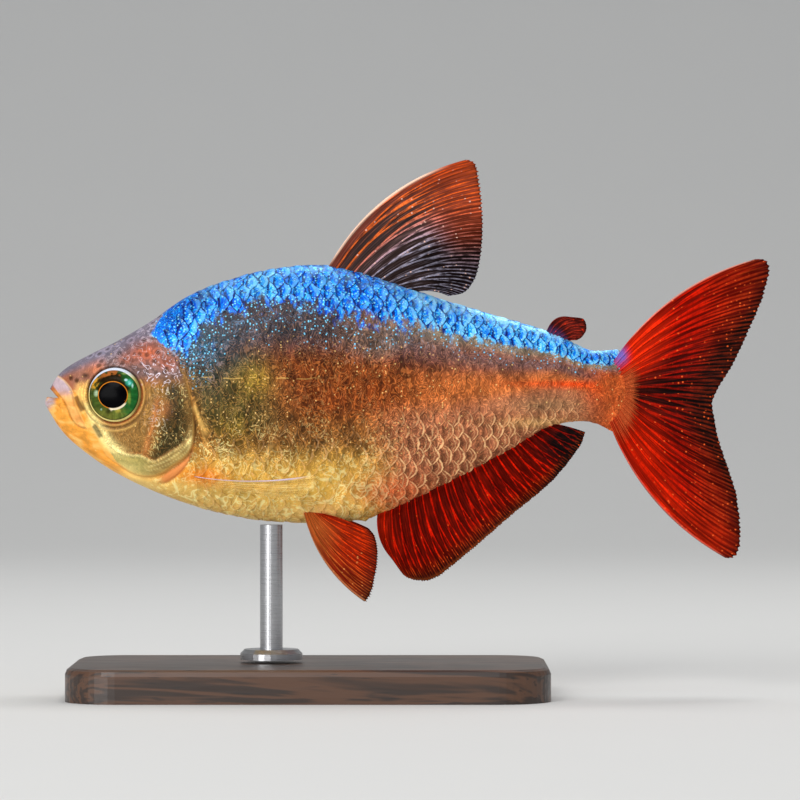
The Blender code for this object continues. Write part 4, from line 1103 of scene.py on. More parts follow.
class TETRA_OT_scales(Operator):
    """Models one scale and lays copies of it in rows over both flanks"""

    bl_idname = "tetra.scales"
    bl_label = "Scales"

    lengthwise, crosswise = 4, 6

    def execute(self, context):
        body = settings("body")
        pitch, row_pitch, rise = body.scale_pitch / MM, body.row_pitch / MM, body.scale_rise / MM
        plate, share_a, share_b, faces = self.model_plate()
        xs, arcs, grid, ends = flank_map(body.coat / MM)
        lengthways, upways = np.gradient(grid, axis=0), np.gradient(grid, axis=1)
        normals = np.cross(upways, lengthways)
        normals /= np.linalg.norm(normals, axis=-1, keepdims=True) + 1e-12
        random = np.random.default_rng(7)
        centres = []
        for row in range(-SCALE_ROWS, SCALE_ROWS):
            x = SCALES_START + (pitch / 2 if row % 2 else 0.0)
            while x < BODY_END - 0.2:
                shrink = 1 - 0.28 * fade(np.array(x), 34.0, 56.0)
                arc = row * row_pitch * (1 - 0.20 * fade(np.array(x), 40.0, 56.0))
                low, high = np.interp(x, xs, ends[:, 0]), np.interp(x, xs, ends[:, 1])
                if low + KEEL_GAP < arc < high - KEEL_GAP:
                    point = read_net(xs, arcs, grid, np.array([x]), np.array([arc]))[0]
                    gill = float(near(np.array([point[0]]), np.array([point[1]]), GILL_EDGE)[0][0])
                    on_nape = point[1] > NAPE_START
                    front = 11.6 + NAPE_LEAN * (point[1] - NAPE_START) if on_nape else 13.2
                    behind = point[0] > front and (on_nape or gill > 0.9)
                    if behind and not (point[1] < -7.0 and point[0] < 14.6):
                        centres.append((x, arc, shrink, low, high))
                x += pitch * shrink
        centres = np.array(centres)
        count = len(centres)
        x0, arc0, shrink, low, high = (centres[:, k, None] for k in range(5))
        size = shrink * random.uniform(0.92, 1.08, (count, 1))
        turn = random.uniform(-0.16, 0.16, (count, 1))
        shift = random.uniform(-0.13, 0.13, (2, count, 1))
        length, width = plate[:, 0] * pitch * size, plate[:, 1] * row_pitch * size
        x = x0 + length - turn * width + shift[0] * pitch
        arc = np.clip(arc0 + width + turn * length + shift[1] * row_pitch, low, high)
        lift = plate[:, 2] * rise * random.uniform(0.8, 1.15, (count, 1))
        spot = read_net(xs, arcs, grid, x, arc)
        normal = read_net(xs, arcs, normals, x, arc)
        for name, side in (("left", -1), ("right", 1)):
            points = spot + normal * lift[..., None]
            self.lay(name, side, points, share_a, share_b, faces, x0, arc0, random.random(count))
        return {"FINISHED"}

    def model_plate(self):
        """One scale on a flat patch: its form in pitches, and its faces with a sunken underside."""
        base, u, v = new_grid("plate", self.lengthwise, self.crosswise)
        across = 2 * v - 1
        reach = 0.62 - 0.80 * np.abs(across) ** 1.9
        length = -0.62 + u * (reach + 0.62)
        height = (-0.5 + 1.5 * u) * (1 - 0.35 * across**2) + 0.12 * np.sin(math.pi * u) * (1 - across**2)
        flat = np.column_stack((length, across * 1.03, height))
        rim = self.rim_order(u, v)
        faces = [tuple(face.vertices) for face in base.data.polygons]
        flat = np.vstack((flat, (-0.1, 0.0, -1.4)))
        bottom = len(flat) - 1
        faces += [(rim[(k + 1) % len(rim)], rim[k], bottom) for k in range(len(rim))]
        bpy.data.objects.remove(base)
        return flat, np.append(u, 0.4), np.append(v, 0.5), faces

    def rim_order(self, u, v):
        """The vertices round a grid's edge, in order."""
        m, n = self.lengthwise, self.crosswise
        spots = {(round(a * m), round(b * n)): k for k, (a, b) in enumerate(zip(u, v))}
        walk = [(i, 0) for i in range(m)] + [(m, j) for j in range(n)]
        walk += [(i, n) for i in range(m, 0, -1)] + [(0, j) for j in range(n, 0, -1)]
        return [spots[spot] for spot in walk]

    def lay(self, name, side, points, share_a, share_b, faces, x0, arc0, tints):
        """Joins the copies on one flank into one piece, with its maps and markings."""
        count, size = points.shape[:2]
        along, up, out = points[..., 0].ravel(), points[..., 1].ravel(), points[..., 2].ravel() * -side
        mesh = bpy.data.meshes.new(f"scales_{name}")
        turned = [face if side < 0 else face[::-1] for face in faces]
        every = [[k * size + corner for corner in face] for k in range(count) for face in turned]
        mesh.from_pydata(to_world(along, up, out).tolist(), [], every)
        piece = bpy.data.objects.new(f"scales_{name}", mesh)
        bpy.context.collection.objects.link(piece)
        pick(piece)
        bpy.ops.object.mode_set(mode="EDIT")
        turn_outwards()
        bpy.ops.object.shade_smooth_by_angle(angle=math.radians(40))
        table = markings(along, up, out)
        share = height_share(along, up)
        rear = fade(share - follow(ARC_LINE, along), 0.02, -0.14) * fade(along, 29.0, 38.0) * 0.75
        arcs = rear + 0.04 + 0.3 * fade(share, 0.42, 0.22) * fade(along, 46.0, 40.0)
        table["arc"] = (1 - table["blue"]) * unit(arcs) * fade(along, 52.5, 50.0)
        table["tint"] = np.repeat(tints, size)
        for label, values in table.items():
            set_value(piece, label, values)
        set_map(piece, "plate", np.tile(share_a, count), np.tile(share_b, count))
        unwrap_u = np.repeat(x0.ravel() / 60.0, size) + np.tile((share_a - 0.5) * 0.003, count)
        unwrap_v = np.repeat(0.5 + arc0.ravel() / 36.0, size) + np.tile((share_b - 0.5) * 0.003, count)
        set_map(piece, "OFBake", unwrap_u, unwrap_v)
        material = bpy.data.materials.get("tetra_scales") or body_material("tetra_scales", True)
        finish_piece(piece, material, "trunk")


# Fins


def ray_crests(u, t, rays, splits=(0.22, 0.52), width=0.20):
    """1 on the crest of a ray, 0 on the membrane. Each ray parts in two, and again nearer the margin."""
    place_on = u * (rays - 1)
    rest = place_on - np.round(place_on)
    first = 0.25 * fade(t, splits[0], splits[0] + 0.45)
    rest = rest - np.where(rest < 0, -1, 1) * first
    rest = rest - np.where(rest < 0, -1, 1) * 0.125 * fade(t, splits[1], splits[1] + 0.4)
    reach = width * (1 - 0.62 * fade(t, splits[0] - 0.1, 0.8))
    return np.clip(1 - (rest / reach) ** 2, 0, 1)


def build_fin(
    name, middle, rays, per_ray, rows, start, splits=(0.22, 0.52), flesh=0.3, ragged=0.02, width=0.20
):
    """A fin folded from one flat grid into a closed pouch: near side, round the last ray, and back."""
    fins = settings("fins")
    web, ridge = fins.web_half / MM, fins.ray_half / MM
    columns = (rays - 1) * per_ray
    fin, a, b = new_grid(name, 2 * columns, rows)
    folded = 2 * a
    u = np.where(folded <= 1, folded, 2 - folded)
    side = np.where(folded < 1, -1.0, 1.0)
    t = start + (1 - start) * b
    crest = ray_crests(u, t, rays, splits, width)
    random = np.random.default_rng(len(name))
    notch = np.interp(u * NOTCHES, np.arange(NOTCHES + 1), random.uniform(0, 1, NOTCHES + 1))
    reach = t * (1 - ragged * fade(t, 0.5, 1.0) * ((1 - crest) * 0.7 + 0.6 * notch))
    x, up, out = middle(u, reach)
    thick = web + ridge * crest * (1 - 0.55 * unit(t)) + flesh * crease(unit(t), FLESHY_ROOT)
    thick = thick * rounded(np.minimum(u, 1 - u) / OUTER_RAY_ROUNDING)
    thick = thick * rounded((1 - b) / MARGIN_ROUNDING) * rounded(b / ROOT_ROUNDING)
    reshape(fin, to_world(x, up, out + side * thick))
    for label, values in (("ray", crest), ("fin_u", u), ("fin_t", t)):
        set_value(fin, label, values)
    close_up(fin, 1.5e-7)
    return fin


def fin_places(fin):
    """Each vertex's share across the rays and along them."""
    found = []
    for name in ("fin_u", "fin_t"):
        values = np.empty(len(fin.data.vertices), dtype=np.float32)
        fin.data.attributes[name].data.foreach_get("value", values)
        found.append(values.astype(float))
    return found


def bowed(root, margin, bow, u, t):
    """Points of bowed rays that run from a root line to a margin."""
    root_x, root_up = root
    tip_x, tip_up = along_line(margin, u)
    run_x, run_up = tip_x - root_x, tip_up - root_up
    size = np.hypot(run_x, run_up)
    lean = 4 * (bow[0] + (bow[1] - bow[0]) * u) * t * (1 - t)
    return root_x + run_x * t - run_up / size * lean, root_up + run_up * t + run_x / size * lean


def sway(u, t, size):
    return size * t * t * np.sin(2 * math.pi * (0.1 + 1.5 * u))


def fin_group():
    """Ray and membrane colours of a fin, with its dark areas, pale edge, bright root and beads of light."""
    group, given, out = new_group(
        "tetra_fin",
        {
            "Ray": (1, 0, 0), "Far ray": (1, 0, 0), "Web": (0.3, 0, 0), "Dark": (0, 0, 0), "Edge": (1, 1, 1),
            "Root": (1, 0.2, 0), "Speck": (1, 0.5, 0.2), "Flesh": (0.5, 0.2, 0.1), "Joints": 260.0,
            "Fine": 60.0, "Broken": 0.5
        },
        ("Color", "Height")
    )
    where = group.position()
    across, lengthways = group.mask("fin_u"), group.mask("fin_t")
    spread = group.vector(across * given["Fine"], lengthways * 3.2, 0.0)
    strands = group.noise(spread, 1.0, roughness=0.65).ramp(0.3, 0.68)
    sheaf = group.noise(spread, 0.28, detail=1.0)
    patch = group.noise(where, 380.0, detail=3.0)
    joint_wave = (lengthways * given["Joints"]).math("SINE")
    ray = ((strands - 0.5) * 0.7 + group.mask("ray")).ramp(0.15, 0.85)
    broken = group.vector(across * given["Fine"] * 0.5, lengthways * 11.0, 0.0)
    broken = group.noise(broken, 1.0, detail=3.0)
    ray = ray * (broken.ramp(0.34, 0.56) * given["Broken"] + (1.0 - given["Broken"]))
    smoke, bright, far = group.mask("smoke"), group.mask("bright"), group.mask("far")
    web = group.mix(smoke, given["Web"], given["Dark"])
    web = group.mix(bright * 0.45, web, given["Root"])
    ray_tone = group.mix(far, given["Ray"], given["Far ray"])
    ray_tone = group.mix(smoke * 0.65, ray_tone, given["Dark"])
    ray_tone = group.mix(bright, ray_tone, given["Root"])
    mixed = group.mix(ray * (far * -0.35 + 0.95), web, ray_tone)
    joint = joint_wave.ramp(0.5, 1.0) * ray
    tone = (patch * 0.9 + 0.55) * (strands * 0.75 + 0.6) * (sheaf * 1.3 + 0.35) * (joint * -0.2 + 1.0)
    mixed = group.shade(mixed, tone)
    bead, drawn = group.dots(where, 2300.0, 0.1, 0.28)
    bead = bead * (far * 0.1 + drawn).ramp(0.56, 0.66) * group.mask("ray").ramp(0.1, 0.5)
    mixed = group.mix(bead * 0.85, mixed, given["Speck"])
    mixed = group.mix(group.mask("edge"), mixed, given["Edge"])
    violet = group.mix(group.mask("blue").ramp(0.2, 0.7), paint(132, 96, 170), paint(94, 118, 216))
    mixed = group.mix(group.mask("blue").ramp(0.0, 0.7) * patch.ramp(0.2, 0.6), mixed, violet)
    fibre = group.curls(where, 1000.0, 12.0, 0.28) * 0.5 + 0.75
    skin = group.shade(given["Flesh"], fibre)
    flesh = ((strands - 0.5) * 0.9 + group.mask("flesh")).ramp(0.1, 0.9)
    mixed = group.mix(flesh * group.mask("flesh").ramp(0.0, 0.1), mixed, skin)
    group.feed(out["Color"], mixed)
    group.feed(out["Height"], joint * -0.4 + (strands * 0.8 + ray))


def fin_material(name, alpha=None, **inputs):
    made = bpy.data.materials.get(name)
    if made:
        return made
    made, tree = new_material(name, Roughness=0.42, Specular_IOR_Level=0.02)
    colours = tree.group("tetra_fin", **inputs)
    tree.surface(Base_Color=colours["Color"])
    tree.bump(0.4, 0.00006, colours["Height"])
    if alpha is not None:
        seen = (tree.mask("ray") * (0.8 - alpha) + alpha).clipped()
        seen = (seen * tree.mask("seen")).math("MAXIMUM", tree.mask("edge"))
        tree.surface(Alpha=seen)
    return made


def mark_fin(fin, **strengths):
    for name in ("smoke", "bright", "edge", "blue", "far", "flesh", "seen"):
        values = np.asarray(strengths.get(name, 0.0), dtype=float)
        set_value(fin, name, np.broadcast_to(values, (len(fin.data.vertices),)))


class TETRA_OT_tail_fin(Operator):
    """Makes the forked tail fin"""

    bl_idname = "tetra.tail_fin"
    bl_label = "Tail Fin"

    def execute(self, context):
        fins = settings("fins")

        def middle(u, t):
            top, bottom = (float(v) for v in section(np.array(BODY_END))[:2])
            up = top + (bottom - top) * (0.02 + 0.96 * u)
            height = (2 * up - top - bottom) / (top - bottom)
            root = BODY_END + TAIL_ROOT_BULGE * (1 - height * height) + 0.1 - 0.9 * height**6 * (height < 0)
            bow = np.interp(u, (0, 0.49, 0.51, 1), (1.4, 0.0, 0.0, -1.4))
            return *bowed((root, up), TAIL_MARGIN, (bow, bow), u, t), sway(u, t, 0.55)

        fin = build_fin(
            "tail_fin", middle, 19, 16, 74, -0.09, splits=(0.1, 0.36), flesh=0.26, ragged=0.014, width=0.21
        )
        u, t = fin_places(fin)
        mark_fin(
            fin,
            smoke=1.1 * crease(u - 0.47, 0.24) * (1 - 0.4 * fade(t, 0.2, 0.6))
                + (0.1 + 0.25 * fade(u, 0.1, 0.4)) * fade(t, 0.25, 0.6)
                + 0.5 * fade(t, 0.62, 1.0) * crease(u - 0.36, 0.3) + 0.4 * fade(t, 0.86, 1.0),
            bright=1.1 * crease(u - 0.12, 0.2) * fade(t, 0.45, 0.08)
                + 0.4 * crease(u - 0.82, 0.2) * fade(t, 0.6, 0.2)
                + 0.35 * fade(u, 0.86, 0.94) * band(t, 0.4, 0.95, 0.1),
            far=fade(t, 0.5, 0.95) * 0.85,
            edge=(0.7 * fade(u, 0.01, 0.003) + 0.35 * fade(u, 0.99, 0.998)) * fade(t, 0.05, 0.15)
                * fade(t, 1.0, 0.93),
            flesh=fade(t, 0.11, -0.05) * fade(u, 0.14, 0.32) * (1 - 0.6 * fade(u, 0.8, 1.0)),
            blue=fade(t, 0.08, -0.05) * fade(u, 0.22, 0.05) * 0.85,
        )
        material = fin_material(
            "tetra_tail_fin", Ray=fins.red, Far_ray=fins.rust, Web=fins.wine, Dark=fins.smoke, Edge=fins.pale,
            Root=fins.flame, Speck=paint(255, 104, 44), Flesh=paint(196, 90, 46), Joints=150.0, Fine=110.0
        )
        finish_piece(fin, material, "red_fin", "tail_fin_upper", "tail_fin_lower")
        return {"FINISHED"}


class TETRA_OT_dorsal_fin(Operator):
    """Makes the dorsal and adipose fins"""

    bl_idname = "tetra.dorsal_fin"
    bl_label = "Dorsal and Adipose Fins"

    def execute(self, context):
        fins = settings("fins")

        def back(base, sunk, margin, bow, size):
            def middle(u, t):
                x = base[0] + (base[1] - base[0]) * u
                root = (x, section(x)[0] - sunk)
                x, up = bowed(root, margin, bow, u, t)
                return x, up, sway(u, t, size)

            return middle

        dorsal = build_fin(
            "dorsal_fin", back(DORSAL_BASE, 0.15, DORSAL_MARGIN, DORSAL_BOW, 0.35), 11, 22, 72, -0.04,
            splits=(0.12, 0.34), flesh=0.3, ragged=0.012, width=0.15,
        )
        u, t = fin_places(dorsal)
        outer = fade(t, 0.5, 0.85) * fade(u, 0.65, 0.3)
        mark_fin(
            dorsal,
            smoke=0.05 + fade(u, 0.3, 0.62) * (0.55 + 0.45 * fade(t, 0.3, 0.6)) + 0.35 * fade(t, 0.55, 1.0),
            bright=0.6 * outer + 0.4 * fade(u, 0.16, 0.02),
            far=fade(u, 0.22, 0.55) * (1 - 0.8 * fade(t, 0.5, 0.85) * fade(u, 0.8, 0.55)),
            edge=0.95 * fade(u, 0.03, 0.008) * fade(t, -0.02, 0.1) * fade(t, 0.92, 0.7),
        )
        material = fin_material(
            "tetra_dorsal_fin", Ray=paint(240, 112, 48), Far_ray=paint(236, 228, 255), Web=paint(64, 48, 46),
            Dark=fins.smoke, Edge=paint(255, 214, 186), Root=paint(216, 78, 20), Speck=paint(255, 204, 184),
            Flesh=paint(120, 70, 40), Joints=170.0, Fine=84.0, Broken=0.85
        )
        finish_piece(dorsal, material, "dark_fin", "dorsal_fin")

        adipose = build_fin(
            "adipose_fin", back(ADIPOSE_BASE, 0.2, ADIPOSE_MARGIN, ADIPOSE_BOW, 0.0), 7, 12, 28, -0.06,
            flesh=0.18
        )
        u, t = fin_places(adipose)
        mark_fin(
            adipose,
            smoke=0.9 * fade(t, 0.7, 1.0) + 0.6 * fade(t, 0.4, 0.1),
            bright=0.5 * crease(t - 0.55, 0.2),
            blue=0.22 * fade(t, 0.35, 0.05),
        )
        material = fin_material(
            "tetra_adipose_fin", Ray=paint(160, 44, 26), Far_ray=paint(90, 30, 34), Web=paint(58, 16, 16),
            Dark=fins.smoke, Edge=fins.pale, Root=paint(150, 44, 30), Speck=fins.flame, Flesh=fins.smoke,
            Joints=60.0, Fine=30.0
        )
        finish_piece(adipose, material, "red_fin", "adipose_fin")
        return {"FINISHED"}


class TETRA_OT_anal_fin(Operator):
    """Makes the long anal fin"""

    bl_idname = "tetra.anal_fin"
    bl_label = "Anal Fin"

    def execute(self, context):
        fins = settings("fins")

        def middle(u, t):
            x = ANAL_BASE[0] + (ANAL_BASE[1] - ANAL_BASE[0]) * u
            x, up = bowed((x, section(x)[1] + 0.12), ANAL_MARGIN, ANAL_BOW, u, t)
            return x, up, sway(u, t, 0.35)

        fin = build_fin(
            "anal_fin", middle, 25, 14, 56, -0.06, splits=(0.30, 0.60), flesh=0.25, ragged=0.022, width=0.12,
        )
        u, t = fin_places(fin)
        mark_fin(
            fin,
            smoke=0.12 + 1.1 * fade(u, 0.74, 0.94) * (0.4 + 0.6 * fade(t, 0.1, 0.5))
                + 0.7 * fade(t, 0.82, 0.98),
            bright=0.4 * fade(u, 0.12, 0.02),
            far=fade(t, 0.7, 0.95),
            edge=0.3 * fade(t, 0.95, 1.0) * fade(u, 0.8, 0.5),
        )
        material = fin_material(
            "tetra_anal_fin", Ray=fins.red, Far_ray=paint(190, 74, 20), Web=paint(96, 8, 0), Dark=fins.smoke,
            Edge=paint(220, 110, 50), Root=fins.flame, Speck=paint(250, 90, 30), Flesh=paint(150, 70, 50),
            Joints=110.0, Fine=120.0
        )
        finish_piece(fin, material, "red_fin", "anal_fin")
        return {"FINISHED"}


class TETRA_OT_paired_fins(Operator):
    """Makes the pelvic and pectoral fins"""

    bl_idname = "tetra.paired_fins"
    bl_label = "Pelvic and Pectoral Fins"

    def execute(self, context):
        fins = settings("fins")
        for name, side in (("left", -1), ("right", 1)):

            def pelvic(u, t):
                x = PELVIC_BASE[0] + (PELVIC_BASE[1] - PELVIC_BASE[0]) * u
                root = belly_height(x, PELVIC_SIDE) + 0.1
                x, up = bowed((x, root), PELVIC_MARGIN, PELVIC_BOW, u, t)
                return x, up, side * (PELVIC_SIDE + PELVIC_SPLAY * (root - up) + 0.9 * t * u)

            fin = build_fin(f"pelvic_fin_{name}", pelvic, 8, 16, 48, -0.05, flesh=0.2, width=0.16)
            u, t = fin_places(fin)
            mark_fin(
                fin,
                smoke=0.2 * fade(u, 0.3, 0.05) * fade(t, 0.2, 0.5) + 0.7 * fade(t, 0.8, 1.0) + 0.1,
                bright=0.9 * fade(t, 0.6, 0.05) * fade(u, 0.9, 0.35),
                far=fade(u, 0.45, 0.1),
                edge=0.5 * fade(u, 0.04, 0.01),
            )
            material = fin_material(
                "tetra_pelvic_fin", Ray=paint(222, 56, 8), Far_ray=paint(224, 112, 44), Web=paint(138, 28, 2),
                Dark=paint(60, 22, 12), Edge=paint(222, 150, 104), Root=paint(206, 118, 52),
                Speck=paint(240, 150, 80), Flesh=paint(206, 130, 70), Joints=70.0, Fine=56.0
            )
            finish_piece(fin, material, "red_fin", f"pelvic_fin_{name}")

            def pectoral(u, t):
                (x0, up0), (x1, up1) = PECTORAL_BASE
                x, up = bowed((x0 + (x1 - x0) * u, up0 + (up1 - up0) * u), PECTORAL_MARGIN, PECTORAL_BOW, u, t)
                swing = np.clip(t, 0, 1) ** 1.2
                clear = half_width(x, up) - 0.45 + 0.55 * fade(t, -0.02, 0.12) + (0.35 + PECTORAL_FLARE) * swing
                return x, up, side * clear

            fin = build_fin(
                f"pectoral_fin_{name}", pectoral, 10, 12, 48, -0.04, flesh=0.05, ragged=0.015, width=0.15
            )
            u, t = fin_places(fin)
            mark_fin(
                fin,
                bright=fade(t, 0.3, 0.05),
                edge=fade(u, 0.075, 0.035) * fade(t, 0.0, 0.04) * (1 - 0.9 * fade(t, 0.75, 1.0)),
                seen=fade(t, 0.02, 0.3) * (1 - 0.45 * fade(t, 0.6, 1.0)),
                smoke=0.3 * crease(u - 0.11, 0.03),
            )
            material = fin_material(
                "tetra_pectoral_fin", alpha=0.18, Ray=paint(255, 242, 170), Far_ray=paint(255, 238, 170),
                Web=paint(255, 200, 92), Dark=fins.smoke, Edge=paint(232, 216, 236), Root=paint(255, 186, 84),
                Speck=paint(255, 230, 180), Flesh=paint(255, 176, 84), Joints=90.0, Fine=60.0
            )
            finish_piece(fin, material, "clear_fin", f"pectoral_fin_{name}")
        return {"FINISHED"}


# Eyes


def eye_frame(side):
    """The eyeball's middle in the world and its axis, square to the head."""
    along, up = np.array([EYE[0]]), np.array([EYE[1]])
    step = 0.3
    slope = float((half_width(along + step, up) - half_width(along - step, up))[0]) / (2 * step)
    rise = float((half_width(along, up + step) - half_width(along, up - step))[0]) / (2 * step)
    axis = Vector((-slope, side, -rise)).normalized()
    surface = Vector(to_world(along, up, side * half_width(along, up))[0])
    return surface - axis * settings("eye").sink, axis


class TETRA_OT_eyes(Operator):
    """Makes both eyes, each with a raised rim, a dished iris and a domed pupil"""

    bl_idname = "tetra.eyes"
    bl_label = "Eyes"

    def execute(self, context):
        eye = settings("eye")
        for name, side in (("left", -1), ("right", 1)):
            pick()
            bpy.ops.mesh.primitive_uv_sphere_add(segments=96, ring_count=96, radius=1)
            ball = context.object
            ball.name = f"eye_{name}"
            ball.data.name = ball.name
            sphere = vertices(ball)
            out = np.hypot(sphere[:, 0], sphere[:, 1])
            dish = -0.10 * fade(out, 0.50, 0.56) * (1 - fade(out, 0.80, 0.90)) + 0.05 * crease(out - 0.93, 0.04)
            depth = sphere[:, 2] * eye.depth + np.where(sphere[:, 2] > 0, dish * MM, 0.0)
            centre, axis = eye_frame(side)
            turn = np.array(axis.to_track_quat("Z", "Y").to_matrix())
            local = np.column_stack((sphere[:, 0] * eye.radius, sphere[:, 1] * eye.radius, depth))
            points = local @ turn.T + np.array(centre)
            reshape(ball, points)
            along, up, _ = from_world(points)
            across = [(values - middle) / IRIS_MAP_WIDTH + 0.5 for values, middle in zip((along, up), EYE)]
            set_map(ball, "iris", *across)
            set_value(ball, "rim_share", out)
            bpy.ops.object.shade_smooth()
            material = bpy.data.materials.get("tetra_eye") or self.eye_material()
            finish_piece(ball, material, "eye", f"eye_{name}")
        return {"FINISHED"}

    def eye_material(self):
        eye = settings("eye")
        gloss = {"Specular_IOR_Level": 0.03, "Coat_Weight": 0.01, "Coat_Roughness": 0.03}
        made, tree = new_material("tetra_eye", Roughness=0.22, **gloss)
        corner = tree.put("SeparateXYZ", (tree.put("UVMap", uv_map="iris")[0],))
        x = (corner[0] - 0.5) * 2.1
        y = (corner[1] - 0.5) * 2.1
        out = tree.mask("rim_share")
        pupil = self.ellipse(tree, x, y, (-0.035, -0.01), (1.0, 1.10))
        angle = y.math("ARCTAN2", x)
        where = tree.position()
        grain = tree.noise(where, 2300.0, detail=3.0, distortion=0.6)
        cloud = tree.noise(where, 620.0, distortion=1.2)
        turned = tree.vector(angle * 7.0, out * 2.0, 0.0)
        rays = tree.noise(turned, 1.0, detail=3.0)
        shifted_x = (cloud - 0.5) * 0.7 + x
        mixed = tree.mix(shifted_x.ramp(-0.25, 0.45), eye.moss, eye.emerald)
        low = y.ramp(-0.35, -0.75) * shifted_x.ramp(0.75, 0.1) * 0.5
        mixed = tree.mix(low, mixed, paint(140, 136, 56))
        front = x.ramp(-0.38, -0.6) * y.ramp(0.12, 0.35) * out.band(0.7, 0.92)
        fleck = grain.ramp(0.42, 0.58)
        mixed = tree.mix(front * fleck, mixed, eye.gold)
        shade = y.ramp(0.3, 0.5) * x.ramp(0.42, 0.2) * out.ramp(0.9, 0.74)
        shade = shade.math("MAXIMUM", pupil.ramp(0.74, 0.6) * y.ramp(0.0, 0.25))
        mixed = tree.mix(shade * 0.96, mixed, eye.umber)
        brow = out.band(0.74, 0.92) * y.ramp(0.5, 0.7) * x.ramp(0.3, 0.1)
        mixed = tree.mix(brow * fleck, mixed, paint(150, 84, 34))
        # Iris blots; the teal and white-cyan ones upper right and the mint one at the left are painted glints
        for spot_x, spot_y, wide, tall, strength, tone in (
            (0.56, -0.12, 0.10, 0.34, 0.75, (132, 158, 60)), (0.86, -0.50, 0.10, 0.26, 0.6, (24, 48, 20)),
            (0.56, 0.44, 0.19, 0.17, 0.85, (60, 186, 160)), (0.44, 0.54, 0.09, 0.07, 0.9, (196, 240, 244)),
            (0.57, 0.43, 0.08, 0.10, 0.9, (150, 232, 228)), (0.68, 0.33, 0.05, 0.12, 0.8, (190, 240, 226)),
            (0.42, 0.78, 0.20, 0.07, 0.7, (158, 180, 84)), (-0.66, 0.05, 0.12, 0.16, 0.85, (196, 222, 178)),
            (-0.86, -0.45, 0.06, 0.34, 0.6, (214, 160, 58)), (-0.47, -0.53, 0.05, 0.06, 0.7, (170, 214, 190)),
            (-0.20, -0.60, 0.20, 0.14, 0.7, (36, 34, 14)), (0.15, -0.57, 0.16, 0.15, 0.9, (184, 172, 72)),
            (-0.09, -0.50, 0.08, 0.13, 0.95, (252, 232, 190)),
        ):
            mixed = tree.mix(
                self.blot(tree, x, y, (spot_x, spot_y), (wide, tall), strength), mixed, paint(*tone)
            )
        tone = (grain + 0.45) * (rays * 1.5 + 0.25)
        tone = tone * out.ramp(1.25, 0.72)
        mixed = tree.shade(mixed, tone)
        mixed = tree.mix(pupil.ramp(0.568, 0.54), mixed, eye.ring)
        crescent = self.ellipse(tree, x, y, (-0.01, -0.055), (1.0, 1.08))
        crescent = crescent.ramp(0.555, 0.53) * y.ramp(-0.26, -0.36) * x.ramp(-0.22, -0.1)
        mixed = tree.mix(crescent, mixed, paint(255, 240, 206))
        rim = tree.mix((y - x * 0.3).ramp(0.25, 0.75), eye.brass, eye.silver)
        rim = tree.mix(x.ramp(0.55, 0.85) * 0.7, rim, paint(112, 108, 46))
        mixed = tree.mix(out.ramp(0.895, 0.915), mixed, paint(40, 34, 14))
        wide = y.ramp(0.3, 0.8) * 0.03 + out
        mixed = tree.mix(wide.ramp(0.918, 0.938), mixed, rim)
        mixed = tree.mix(out.ramp(0.985, 0.998), mixed, paint(70, 50, 22))
        mixed = tree.mix(pupil.ramp(0.535, 0.518), mixed, PUPIL_BLACK)
        tree.surface(Base_Color=mixed)
        tree.bump(0.2, 0.00004, grain)
        return made

    def ellipse(self, tree, x, y, centre, scale):
        """How far out a place lies, counted in widths of an ellipse."""
        dx = (x - centre[0]) * scale[0]
        dy = (y - centre[1]) * scale[1]
        return (dx * dx + dy * dy).math("SQRT")

    def blot(self, tree, x, y, centre, size, strength):
        """A soft blot of colour in the iris."""
        away = self.ellipse(tree, x, y, centre, (1 / size[0], 1 / size[1]))
        return away.ramp(1.0, 0.2) * strength


# Stand and stage


class TETRA_OT_stand(Operator):
    """Finishes the frame's own stand: dark oiled wood and brushed steel"""

    bl_idname = "tetra.stand"
    bl_label = "Display Stand"

    def execute(self, context):
        for node, made in (("stand_base", self.wood()), ("stand_rod", self.steel())):
            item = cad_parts[node]
            item.data.materials.clear()
            item.data.materials.append(made)
        return {"FINISHED"}

    def wood(self):
        made, tree = new_material("stand_wood", Coat_Weight=0.3, Coat_Roughness=0.3)
        lengthways = tree.stretch(tree.position(), (0.1, 1.0, 1.0))
        figure = tree.noise(lengthways, 260.0, detail=4.0, distortion=1.2)
        pores = tree.noise(lengthways, 2600.0)
        bands = (figure * 40.0).math("SINE").ramp(-0.8, 0.9)
        mixed = tree.mix(bands, paint(46, 30, 20), paint(84, 54, 34))
        mixed = tree.mix(pores.ramp(0.6, 0.7) * 0.7, mixed, paint(24, 15, 10))
        tree.surface(Base_Color=mixed, Roughness=pores * 0.25 + 0.3)
        tree.bump(0.25, 0.00008, pores)
        return made

    def steel(self):
        made, tree = new_material("stand_steel", Metallic=1.0)
        lines = tree.noise(tree.stretch(tree.position(), (1.0, 1.0, 40.0)), 500.0, detail=3.0)
        mixed = tree.mix(lines, paint(150, 150, 152), paint(206, 206, 208))
        tree.surface(Base_Color=mixed, Roughness=lines * 0.2 + 0.2)
        return made


